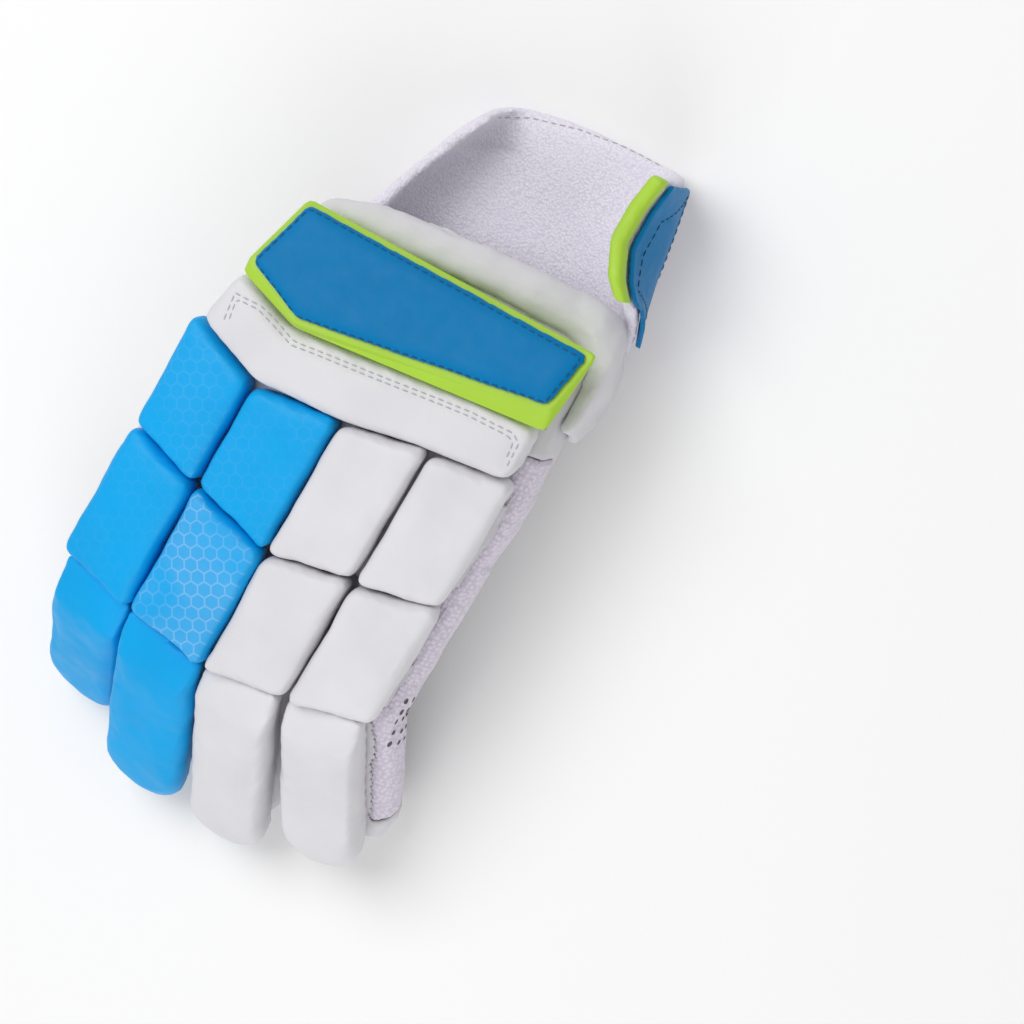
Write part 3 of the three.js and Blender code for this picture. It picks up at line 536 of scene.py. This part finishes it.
def remesh(piece, size, smooth=0):
    """Covers a piece with even faces of a size, and smooths them."""
    step = piece.modifiers.new("Remesh", "REMESH")
    step.mode = "VOXEL"
    step.voxel_size = size
    if smooth:
        even = piece.modifiers.new("Smooth", "SMOOTH")
        even.factor = SMOOTH_STEP
        even.iterations = smooth
    settle(piece)


def even_out(piece, rounds):
    """Smooths thin leather without making it shrink: every step inwards is taken back."""
    for _ in range(rounds):
        for factor in (SMOOTH_STEP, SMOOTH_BACK):
            even = piece.modifiers.new("Smooth", "SMOOTH")
            even.factor = factor
            even.iterations = 1
    settle(piece)


def soften_edges(piece, reach):
    """Rounds the sharp edges of a firm block and keeps its flat faces flat."""
    shape = bmesh.new()
    shape.from_mesh(piece.data)
    sharp = [edge for edge in shape.edges if edge.calc_face_angle(0.0) > SHARP]
    bmesh.ops.bevel(
        shape,
        geom=sharp,
        offset=reach,
        offset_type="OFFSET",
        affect="EDGES",
        segments=2,
        profile=0.5,
        material=-1,
        clamp_overlap=True,
    )
    bmesh.ops.remove_doubles(shape, verts=shape.verts, dist=SAME_BEVEL_POINT)
    shape.to_mesh(piece.data)
    shape.free()
    flat = piece.modifiers.new("Flat faces", "WEIGHTED_NORMAL")
    flat.mode = "FACE_AREA"
    flat.weight = FLAT_WEIGHT


def thickness_axis(points):
    """The direction of a pad's thickness, pointing up."""
    centred = points - points.mean(0)
    axes = np.linalg.eigh(centred.T @ centred)[1]
    axis = axes[:, 0]
    return axis if axis[2] > 0 else -axis


def gentle(values, low, high):
    """Values from low to high as a soft rise from 0 to 1."""
    t = np.clip((values - low) / (high - low), 0, 1)
    return t * t * (3 - 2 * t)


def swell(pieces):
    """Blows pads up like cushions, keeps their feet in place and caps how far a point moves."""
    settings = padding()
    before = {}
    for piece in pieces:
        before[piece.name] = read_points(piece.data)
        cloth = piece.modifiers.new("Cloth", "CLOTH")
        cloth.settings.use_pressure = True
        cloth.settings.uniform_pressure_force = settings.pressure
        cloth.settings.effector_weights.gravity = 0.0
        cloth.point_cache.frame_end = settings.frames + 1
    scene = bpy.context.scene
    for number in range(1, settings.frames + 1):
        scene.frame_set(number)
    depsgraph = bpy.context.evaluated_depsgraph_get()
    for piece in pieces:
        start = before[piece.name]
        moved = read_points(piece.evaluated_get(depsgraph).data) - start
        piece.modifiers.clear()
        distance = np.linalg.norm(moved, axis=1, keepdims=True)
        capped = settings.swell * np.tanh(distance / settings.swell)
        moved = moved * capped / np.maximum(distance, TINY)
        height = start @ thickness_axis(start)
        low, high = height.min(), height.max()
        free = gentle(height, low, low + settings.seat * (high - low))
        write_points(piece.data, start + moved * free[:, None])
    scene.frame_set(1)


def dent(piece, kind, number=0):
    """Soft dents: moves points along their normals by smooth noise."""
    for row in DENTS[kind]:
        points = read_points(piece.data)
        normals = read_points(piece.data, "vector", "vertex_normals")
        seed = row["seed"] + number
        offset = Vector([seed * step for step in SEED_STEPS])
        amount = np.array([noise.noise(Vector(p / (row["wave"] * MM)) + offset) for p in points])
        write_points(piece.data, points + normals * (amount * row["depth"] * MM)[:, None])


class PadPlaces:
    """Where a pad's points lie between its foot and its top, and round its middle."""

    def __init__(self, piece):
        self.mesh = piece.data
        self.points = read_points(piece.data)
        self.normals = read_points(piece.data, "vector", "vertex_normals")
        up = thickness_axis(self.points)
        height = self.points @ up
        self.level = (height - height.min()) / (height.max() - height.min())
        self.side = 1 - np.abs(self.normals @ up)
        centred = self.points - self.points.mean(0)
        self.flat = centred - np.outer(centred @ up, up)
        self.away = np.linalg.norm(self.flat, axis=1)

    def move_out(self, amount):
        """Moves the points along their normals."""
        write_points(self.mesh, self.points + self.normals * amount[:, None])


def foot_pleats(piece, seed):
    """Small gathers in the leather round the foot of a pad, strongest at its corners."""
    pad = PadPlaces(piece)
    corner = gentle(pad.away / pad.away.max(), *PLEAT_CORNER)
    strength = PLEAT_BETWEEN_CORNERS + (1 - PLEAT_BETWEEN_CORNERS) * corner
    where = pad.side * (1 - gentle(pad.level, *PLEAT_TOP)) * strength
    turn = np.arctan2(pad.flat[:, 1], pad.flat[:, 0])
    drift = PLEAT_DRIFT["amount"] * np.sin(turn * PLEAT_DRIFT["turns"] + seed)
    wave = np.sin(turn * pad.away / PLEAT + drift)
    pad.move_out(wave * where * padding().pucker)


def fill_sides(piece, reach):
    """Stands a pad's sides out above its foot."""
    pad = PadPlaces(piece)
    pad.move_out(pad.side * gentle(pad.level, *FULL_SIDE) * reach)


def draw_corners(piece, reach):
    """Draws a pad's four corners out to where its seams hold them."""
    pad = PadPlaces(piece)
    corner = gentle(pad.away / pad.away.max(), *DRAWN_CORNER)
    drawn = pad.points + pad.flat * (corner * reach / pad.away.max())[:, None]
    write_points(piece.data, drawn)


def furrow(piece, corners, towards, width, depth):
    """Presses a soft furrow into the side of a piece that is met towards a direction."""
    points = read_points(piece.data)
    normals = read_points(piece.data, "vector", "vertex_normals")
    towards = np.array(towards)
    nearest = np.full(len(points), np.inf)
    for start, end in zip(corners[:-1], corners[1:]):
        start, run = np.array(start) * MM, (np.array(end) - np.array(start)) * MM
        along = np.clip((points - start) @ run / (run @ run), 0, 1)
        offset = points - start - np.outer(along, run)
        offset = offset - np.outer(offset @ towards, towards)
        nearest = np.minimum(nearest, np.linalg.norm(offset, axis=1))
    facing = gentle(-(normals @ towards), *FURROW_FACING)
    pressed = np.exp(-((nearest / width) ** 2)) * facing * depth
    write_points(piece.data, points - normals * pressed[:, None])


def present(piece, nodes, material, levels=1):
    """The last steps of every piece: finish, smooth faces, and its place in the frame."""
    points = read_points(piece.data)
    points[:, 2] = np.maximum(points[:, 2], 0.0)
    write_points(piece.data, points)
    piece.data.materials.clear()
    piece.data.materials.append(material)
    piece.data.shade_smooth()
    if levels:
        finer = piece.modifiers.new("Subdivision", "SUBSURF")
        finer.levels = finer.render_levels = levels
    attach(piece, "root")
    if nodes:
        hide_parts(*nodes)
    return piece


# Stitching


# The ways in which seams are looked at: from above, and from the little finger's side
DOWN = (0.0, 0.0, -1.0)
INWARD = (-1.0, 0.0, 0.0)

# Seams: the piece they are sewn on, the way they are looked at, and their corners in millimetres
SEAMS = {
    "bar_seam": {
        "piece": "padded_knuckle_bar",
        "towards": DOWN,
        "corners": (
            (-45.8, 28.5, 66),
            (-47.0, 37.2, 66),
            (-38.0, 38.2, 66),
            (-24.0, 34.8, 66),
            (33.0, 46.6, 66),
            (46.6, 48.2, 66),
            (49.4, 46.4, 66),
            (49.8, 38.0, 66),
        ),
    },
    "bar_second_seam": {
        "piece": "padded_knuckle_bar",
        "towards": DOWN,
        "corners": (
            (-44.4, 29.6, 66),
            (-45.6, 36.0, 66),
            (-38.3, 36.9, 66),
            (-24.1, 33.5, 66),
            (33.1, 45.3, 66),
            (46.2, 46.8, 66),
            (48.1, 45.5, 66),
            (48.5, 38.7, 66),
        ),
    },
    "cuff_face_seam": {
        "piece": "cuff_face",
        "towards": DOWN,
        "corners": (
            (-25.6, 43.2, 72),
            (50.4, 61.9, 72),
            (52.3, 77.6, 72),
            (-40.6, 70.2, 72),
            (-45.3, 49.4, 72),
            (-25.6, 43.2, 72),
        ),
    },
    "strap_hem_seam": {
        "piece": "towelling_strap",
        "towards": DOWN,
        "corners": (
            (-18.0, 113.5, 5),
            (-10.5, 117.6, 5),
            (4.8, 122.7, 5),
            (19.5, 125.4, 5),
            (32.5, 126.4, 5),
        ),
    },
    "tab_seam": {
        "piece": "blue_tab",
        "towards": INWARD,
        "corners": (
            (50, 86.5, 16.0),
            (50, 99.2, 45.6),
            (50, 118.4, 38.4),
            (50, 125.8, 16.0),
            (50, 86.5, 16.0),
        ),
    },
}

# The furrows that the seams press into the bar and the hem, and the strap's fold
SEAM_WIDTH = 0.9 * MM
SEAM_DEPTH = 0.35 * MM
HEM_WIDTH = 1.1 * MM
HEM_DEPTH = 0.5 * MM
FOLD_WIDTH = 1.6 * MM
FOLD_DEPTH = 1.1 * MM
STRAP_FOLD = ((-28.0, 98.0, 5), (-19.5, 101.3, 5), (-10.0, 105.5, 5))

# The seed of the gathers round the knuckle bar's foot
BAR_PLEATS = 3

# The vent holes of the side mesh: rows and columns from a first hole, in millimetres
VENT_FIRST = (56.0, -46.5, 44.8)
VENT_ALONG = (0.0, -3.9, -0.9)
VENT_DOWN = (0.0, 0.3, -4.4)
VENT_COLUMNS = 5
VENT_ROWS = 3
VENT_FROM = 30 * MM

# Half the length and half the width of a vent hole, and how far its dark disc of painted shade stands out
VENT_HALF = 1.25 * MM
VENT_NARROW = 0.75 * MM
VENT_RISE = 0.16 * MM

# A row of stitches is traced in steps, from well outside the glove, and breaks off at a wide gap
TRACE_STEP = 0.4 * MM
TRACE_FROM = 60 * MM
ROW_BREAK = 4 * MM

# How finely a stitch and a vent hole are rounded: faces round and along
STITCH_FACES = {"u_segments": 8, "v_segments": 6}
VENT_FACES = {"u_segments": 10, "v_segments": 6}


def surface_tree(piece):
    """A piece's finished surface, to be met by straight lines."""
    depsgraph = bpy.context.evaluated_depsgraph_get()
    return BVHTree.FromObject(piece, depsgraph)


def on_surface(tree, start, direction):
    """Where a line from start meets the surface, and the surface's normal there."""
    place, normal, _, _ = tree.ray_cast(Vector(start), Vector(direction))
    if place is None:
        return None
    if normal.dot(Vector(direction)) > 0:
        normal = -normal
    return place, normal


def trace(tree, corners, direction):
    """Points on the surface below the straight runs between corners, given in millimetres."""
    direction = Vector(direction).normalized()
    found = []
    for a, b in zip(corners[:-1], corners[1:]):
        a, b = Vector(a) * MM, Vector(b) * MM
        count = max(2, int((b - a).length / TRACE_STEP))
        for i in range(count):
            hit = on_surface(tree, a.lerp(b, i / count) - direction * TRACE_FROM, direction)
            if hit:
                found.append(hit)
    return found


def lying(start, end, normal, height):
    """The place of something long that lies on a surface from start to end."""
    along = (end - start).normalized()
    side = normal.cross(along).normalized()
    up = along.cross(side)
    middle = (start + end) / 2 + up * height
    turn = Matrix((along, side, up)).transposed().to_4x4()
    return Matrix.Translation(middle) @ turn


def add_stitch(shape, start, end, normal, radius, height):
    """One stitch: a short thread that dives into the leather at both ends."""
    size = Matrix.Diagonal(((end - start).length / 2, radius, radius, 1.0))
    place = lying(start, end, normal, height) @ size
    bmesh.ops.create_uvsphere(shape, radius=1.0, matrix=place, **STITCH_FACES)


def sew(shape, run, stitch, gap, radius, sink):
    """A row of stitches along traced points."""
    distance = 0.0
    start = None
    sewing = True
    for (a, a_normal), (b, _) in zip(run[:-1], run[1:]):
        step = (b - a).length
        if step > ROW_BREAK:
            start, distance, sewing = None, 0.0, True
            continue
        if sewing and start is None:
            start = (a, a_normal)
        distance += step
        if sewing and distance >= stitch:
            add_stitch(shape, start[0], b, (start[1] + a_normal) / 2, radius, radius * (1 - 2 * sink))
            distance, sewing, start = 0.0, False, None
        elif not sewing and distance >= gap:
            distance, sewing = 0.0, True


def stitched(name, runs, material):
    """One object with all the stitches of several rows."""
    settings = bpy.context.scene.glove_stitching
    shape = bmesh.new()
    for run in runs:
        sew(shape, run, settings.stitch, settings.gap, settings.thread, settings.sink)
    if not shape.verts:
        raise RuntimeError(f"{name}: no stitch found its leather")
    return present(take_shape(name, shape), (), material, levels=0)


# Operators


def colours():
    """The colours that a user sets."""
    return bpy.context.scene.glove_colours


def padding():
    """The sizes of the soft pieces that a user sets."""
    return bpy.context.scene.glove_padding


class GLOVE_OT_finger_pads(bpy.types.Operator):
    """Swell the twelve foam pads over the knuckles, fingers and fingertips"""

    bl_idname = "glove.finger_pads"
    bl_label = "Finger pads"

    def execute(self, context):
        leathers = {
            "padding_blue": leather("pad leather blue", colours().blue, "blue pads"),
            "padding_white": leather("pad leather white", colours().white, "white pads"),
        }
        pads = []
        for kind in ("knuckle_pad", "finger_pad", "tip_pad"):
            for finger in FINGERS:
                node = f"{kind}_{finger}"
                pad = copy_node("padded_" + node, node)
                remesh(pad, padding().pad_voxel, SMOOTHING["pad"])
                pads.append((pad, node))
        swell([pad for pad, _ in pads])
        for number, (pad, node) in enumerate(pads):
            dent(pad, "pad", number)
            foot_pleats(pad, number)
            fill_sides(pad, padding().fullness)
            if not node.startswith("tip_pad"):
                draw_corners(pad, padding().corner)
            slot = "padding_blue" if node.endswith(("index", "middle")) else "padding_white"
            material = leathers[slot]
            if node in HONEYCOMB:
                name = "honeycomb " + node
                material = leather(name, colours().blue, "blue pads", honeycomb=HONEYCOMB[node])
            present(pad, (node,), material)
        return {"FINISHED"}


class GLOVE_OT_knuckle_bar(bpy.types.Operator):
    """Swell the long pad behind the knuckles and press the furrows of its double seam"""

    bl_idname = "glove.knuckle_bar"
    bl_label = "Knuckle bar"

    def execute(self, context):
        bar = copy_node("padded_knuckle_bar", "knuckle_bar")
        remesh(bar, padding().pad_voxel, SMOOTHING["bar"])
        swell([bar])
        dent(bar, "bar")
        foot_pleats(bar, BAR_PLEATS)
        for name in ("bar_seam", "bar_second_seam"):
            furrow(bar, SEAMS[name]["corners"], SEAMS[name]["towards"], SEAM_WIDTH, SEAM_DEPTH)
        white = leather("bar leather", colours().white, "white pads")
        present(bar, ("knuckle_bar",), white)
        return {"FINISHED"}


class GLOVE_OT_cuff(bpy.types.Operator):
    """Soften the lime cuff block and its blue face"""

    bl_idname = "glove.cuff"
    bl_label = "Cuff"

    def execute(self, context):
        rim = copy_node("cuff_edge", "cuff_rim")
        soften_edges(rim, padding().rim_edge)
        lime = leather("lime leather", colours().lime, "cuff edge")
        present(rim, ("cuff_rim",), lime, levels=0)
        face = copy_node("cuff_face", "cuff_pad")
        remesh(face, padding().face_voxel, SMOOTHING["cuff face"])
        dent(face, "cuff face")
        blue = leather("cuff leather", colours().cuff_blue, "cuff")
        present(face, ("cuff_pad",), blue, levels=0)
        return {"FINISHED"}


class GLOVE_OT_collar(bpy.types.Operator):
    """Fill the soft roll round the glove's mouth"""

    bl_idname = "glove.collar"
    bl_label = "Wrist collar"

    def execute(self, context):
        roll = copy_node("collar_roll", "wrist_collar")
        remesh(roll, padding().pad_voxel, SMOOTHING["collar"])
        dent(roll, "collar")
        white = leather("collar leather", colours().shell, "collar")
        present(roll, ("wrist_collar",), white)
        return {"FINISHED"}


class GLOVE_OT_leather(bpy.types.Operator):
    """Soften the leather palm, the stalls and the index side panel"""

    bl_idname = "glove.leather"
    bl_label = "Leather glove"

    def execute(self, context):
        material = leather("palm leather", colours().shell, "palm")
        nodes = ["hand_shell", "index_side_panel", "thumb_stall"]
        nodes += [f"finger_stall_{finger}" for finger in FINGERS]
        for node in nodes:
            piece = copy_node("leather_" + node, node)
            grain = padding().shell_voxel if node == "hand_shell" else padding().stall_voxel
            remesh(piece, grain)
            even_out(piece, LEATHER_ROUNDS)
            dent(piece, "leather")
            present(piece, (node,), material, levels=0)
        return {"FINISHED"}


class GLOVE_OT_side_mesh(bpy.types.Operator):
    """Shape the mesh panel along the little finger"""

    bl_idname = "glove.side_mesh"
    bl_label = "Side mesh"

    def execute(self, context):
        piece = copy_node("side_mesh_panel", "little_side_mesh")
        remesh(piece, padding().stall_voxel)
        even_out(piece, LEATHER_ROUNDS)
        dent(piece, "leather")
        cloth = pebbled_mesh("pebbled mesh", colours().mesh)
        present(piece, ("little_side_mesh",), cloth, levels=0)
        return {"FINISHED"}


class GLOVE_OT_strap(bpy.types.Operator):
    """Make the towelling strap, its blue tab and its lime binding"""

    bl_idname = "glove.strap"
    bl_label = "Wrist strap"

    def execute(self, context):
        band = copy_node("towelling_strap", "wrist_strap")
        remesh(band, padding().strap_voxel, SMOOTHING["strap"])
        dent(band, "strap")
        furrow(band, STRAP_FOLD, DOWN, FOLD_WIDTH, FOLD_DEPTH)
        furrow(band, SEAMS["strap_hem_seam"]["corners"], DOWN, HEM_WIDTH, HEM_DEPTH)
        loops = towelling("towelling", colours().towel)
        present(band, ("wrist_strap",), loops)
        tab = copy_node("blue_tab", "strap_tab")
        remesh(tab, padding().trim_voxel, SMOOTHING["tab"])
        blue = leather("tab leather", colours().cuff_blue, "cuff")
        present(tab, ("strap_tab",), blue, levels=0)
        binding = copy_node("lime_binding", "strap_binding")
        remesh(binding, padding().trim_voxel, SMOOTHING["binding"])
        dent(binding, "binding")
        lime = leather("binding leather", colours().lime, "binding")
        present(binding, ("strap_binding",), lime)
        return {"FINISHED"}


class GLOVE_OT_thumb(bpy.types.Operator):
    """Fill the thumb's padded back and the flap at its root"""

    bl_idname = "glove.thumb"
    bl_label = "Thumb pads"

    def execute(self, context):
        pad = copy_node("padded_thumb", "thumb_pad")
        remesh(pad, padding().thumb_voxel, SMOOTHING["thumb"])
        dent(pad, "thumb")
        white = leather("thumb leather", colours().white, "thumb")
        present(pad, ("thumb_pad",), white)
        flap = copy_node("padded_flap", "thumb_flap")
        remesh(flap, padding().thumb_voxel, SMOOTHING["thumb"])
        white = leather("flap leather", colours().shell, "collar")
        present(flap, ("thumb_flap",), white)
        return {"FINISHED"}


class GLOVE_OT_seams(bpy.types.Operator):
    """Sew the seams of the bar, the cuff, the strap and its tab"""

    bl_idname = "glove.seams"
    bl_label = "Seams"

    def execute(self, context):
        # The pale thread's grey is partly painted shade on the stitches
        pale = thread("pale thread", colours().thread_pale_painted_shade)
        dark = thread("dark thread", colours().thread_dark)
        rows = (
            ("bar_stitches", ("bar_seam", "bar_second_seam"), "padding_white", pale),
            ("hem_stitches", ("strap_hem_seam",), "towelling", pale),
            ("cuff_stitches", ("cuff_face_seam", "tab_seam"), "cuff_blue", dark),
        )
        for name, seams, slot, material in rows:
            runs = []
            for seam in seams:
                row = SEAMS[seam]
                tree = surface_tree(bpy.data.objects[row["piece"]])
                runs.append(trace(tree, row["corners"], row["towards"]))
            stitched(name, runs, material)
        return {"FINISHED"}


class GLOVE_OT_vents(bpy.types.Operator):
    """Set the vent holes on the side mesh, as small dark discs of painted shade"""

    bl_idname = "glove.vents"
    bl_label = "Vents"

    def execute(self, context):
        tree = surface_tree(bpy.data.objects["side_mesh_panel"])
        shape = bmesh.new()
        first, along, down = Vector(VENT_FIRST), Vector(VENT_ALONG), Vector(VENT_DOWN)
        for row in range(VENT_ROWS):
            for column in range(VENT_COLUMNS):
                middle = (first + along * column + down * row) * MM
                hit = on_surface(tree, middle - Vector(INWARD) * VENT_FROM, INWARD)
                if hit is None:
                    raise RuntimeError("a vent hole missed the side mesh")
                centre, normal = hit
                half = along.normalized() * VENT_HALF
                turn = lying(centre - half, centre + half, normal, height=0.0)
                size = Matrix.Diagonal((VENT_HALF, VENT_NARROW, VENT_RISE, 1.0))
                # Each hole is a thin dark disc: painted shade where the inside of the hole would be
                bmesh.ops.create_uvsphere(shape, radius=1.0, matrix=turn @ size, **VENT_FACES)
        piece = take_shape("vent_holes", shape)
        present(piece, (), vent_painted_shade("vent shade", colours().mesh), levels=0)
        return {"FINISHED"}


# Half the breadth of the floor, in metres
FLOOR_HALF = 6.0

# The lamps, as their places in metres, their share of the key light's power and their sizes
LAMPS = {
    "key light": {"place": (-0.55, 0.45, 1.25), "share": 1.0, "size": 0.9},
    "fill light": {"place": (0.5, -1.0, 0.9), "share": 0.7, "size": 1.2},
}
LAMP_AIM = (0.0, 0.0, 0.03)

# The camera: its lens and sensor in millimetres, its place in metres and its turn in degrees
CAMERA_LENS = 116.0
CAMERA_SENSOR = 36.0
CAMERA_PLACE = (0.21881, 0.29099, 0.97479)
CAMERA_TURN = (-8.546, 16.733, 30.979)


class GLOVE_OT_stage(bpy.types.Operator):
    """Set the floor, the soft studio light and the camera"""

    bl_idname = "glove.stage"
    bl_label = "Stage"

    def execute(self, context):
        settings = context.scene.glove_stage
        shape = bmesh.new()
        bmesh.ops.create_grid(shape, x_segments=1, y_segments=1, size=FLOOR_HALF)
        floor = take_shape("studio floor", shape)
        matt = Shader("pale floor", roughness=0.9)
        matt.surface.inputs["Base Color"].default_value = (*settings.floor, 1.0)
        floor.data.materials.append(matt.material)

        world = bpy.data.worlds.new("studio air")
        world.use_nodes = True
        air = world.node_tree.nodes["Background"]
        air.inputs["Color"].default_value = (1.0, 1.0, 1.0, 1.0)
        air.inputs["Strength"].default_value = settings.sky
        context.scene.world = world

        for name, row in LAMPS.items():
            lamp = bpy.data.lights.new(name, "AREA")
            lamp.energy = settings.key * row["share"]
            lamp.size = row["size"]
            holder = place_object(name, lamp)
            holder.location = row["place"]
            aim = Vector(LAMP_AIM) - Vector(row["place"])
            holder.rotation_euler = aim.to_track_quat("-Z", "Y").to_euler()

        camera = bpy.data.cameras.new("camera")
        camera.lens = CAMERA_LENS
        camera.sensor_width = CAMERA_SENSOR
        holder = place_object("camera", camera)
        holder.location = CAMERA_PLACE
        holder.rotation_euler = [math.radians(angle) for angle in CAMERA_TURN]
        context.scene.camera = holder
        context.scene.view_settings.view_transform = "Standard"
        return {"FINISHED"}


class GLOVE_PT_pieces(bpy.types.Panel):
    """The glove's pieces and sizes"""

    bl_label = "Batting glove"
    bl_idname = "GLOVE_PT_pieces"
    bl_space_type = "VIEW_3D"
    bl_region_type = "UI"
    bl_category = "Glove"

    def draw(self, context):
        for operator in OPERATORS:
            self.layout.operator(operator.bl_idname)
        for key in GROUPS:
            box = self.layout.box()
            group = getattr(context.scene, key)
            for name in group.bl_rna.properties.keys():
                if name not in ("rna_type", "name"):
                    box.prop(group, name)


OPERATORS = (
    GLOVE_OT_leather,
    GLOVE_OT_side_mesh,
    GLOVE_OT_finger_pads,
    GLOVE_OT_knuckle_bar,
    GLOVE_OT_cuff,
    GLOVE_OT_collar,
    GLOVE_OT_strap,
    GLOVE_OT_thumb,
    GLOVE_OT_seams,
    GLOVE_OT_vents,
    GLOVE_OT_stage,
)


def register():
    for group in GROUPS.values():
        bpy.utils.register_class(group)
    for key, group in GROUPS.items():
        setattr(bpy.types.Scene, key, bpy.props.PointerProperty(type=group))
    for operator in OPERATORS:
        bpy.utils.register_class(operator)
    bpy.utils.register_class(GLOVE_PT_pieces)


def unregister():
    bpy.utils.unregister_class(GLOVE_PT_pieces)
    for operator in reversed(OPERATORS):
        bpy.utils.unregister_class(operator)
    for key in GROUPS:
        delattr(bpy.types.Scene, key)
    for group in GROUPS.values():
        bpy.utils.unregister_class(group)


def main():
    register()
    bpy.ops.glove.leather()
    bpy.ops.glove.side_mesh()
    bpy.ops.glove.finger_pads()
    bpy.ops.glove.knuckle_bar()
    bpy.ops.glove.cuff()
    bpy.ops.glove.collar()
    bpy.ops.glove.strap()
    bpy.ops.glove.thumb()
    bpy.ops.glove.seams()
    bpy.ops.glove.vents()
    bpy.ops.glove.stage()


if __name__ == "__main__":
    main()
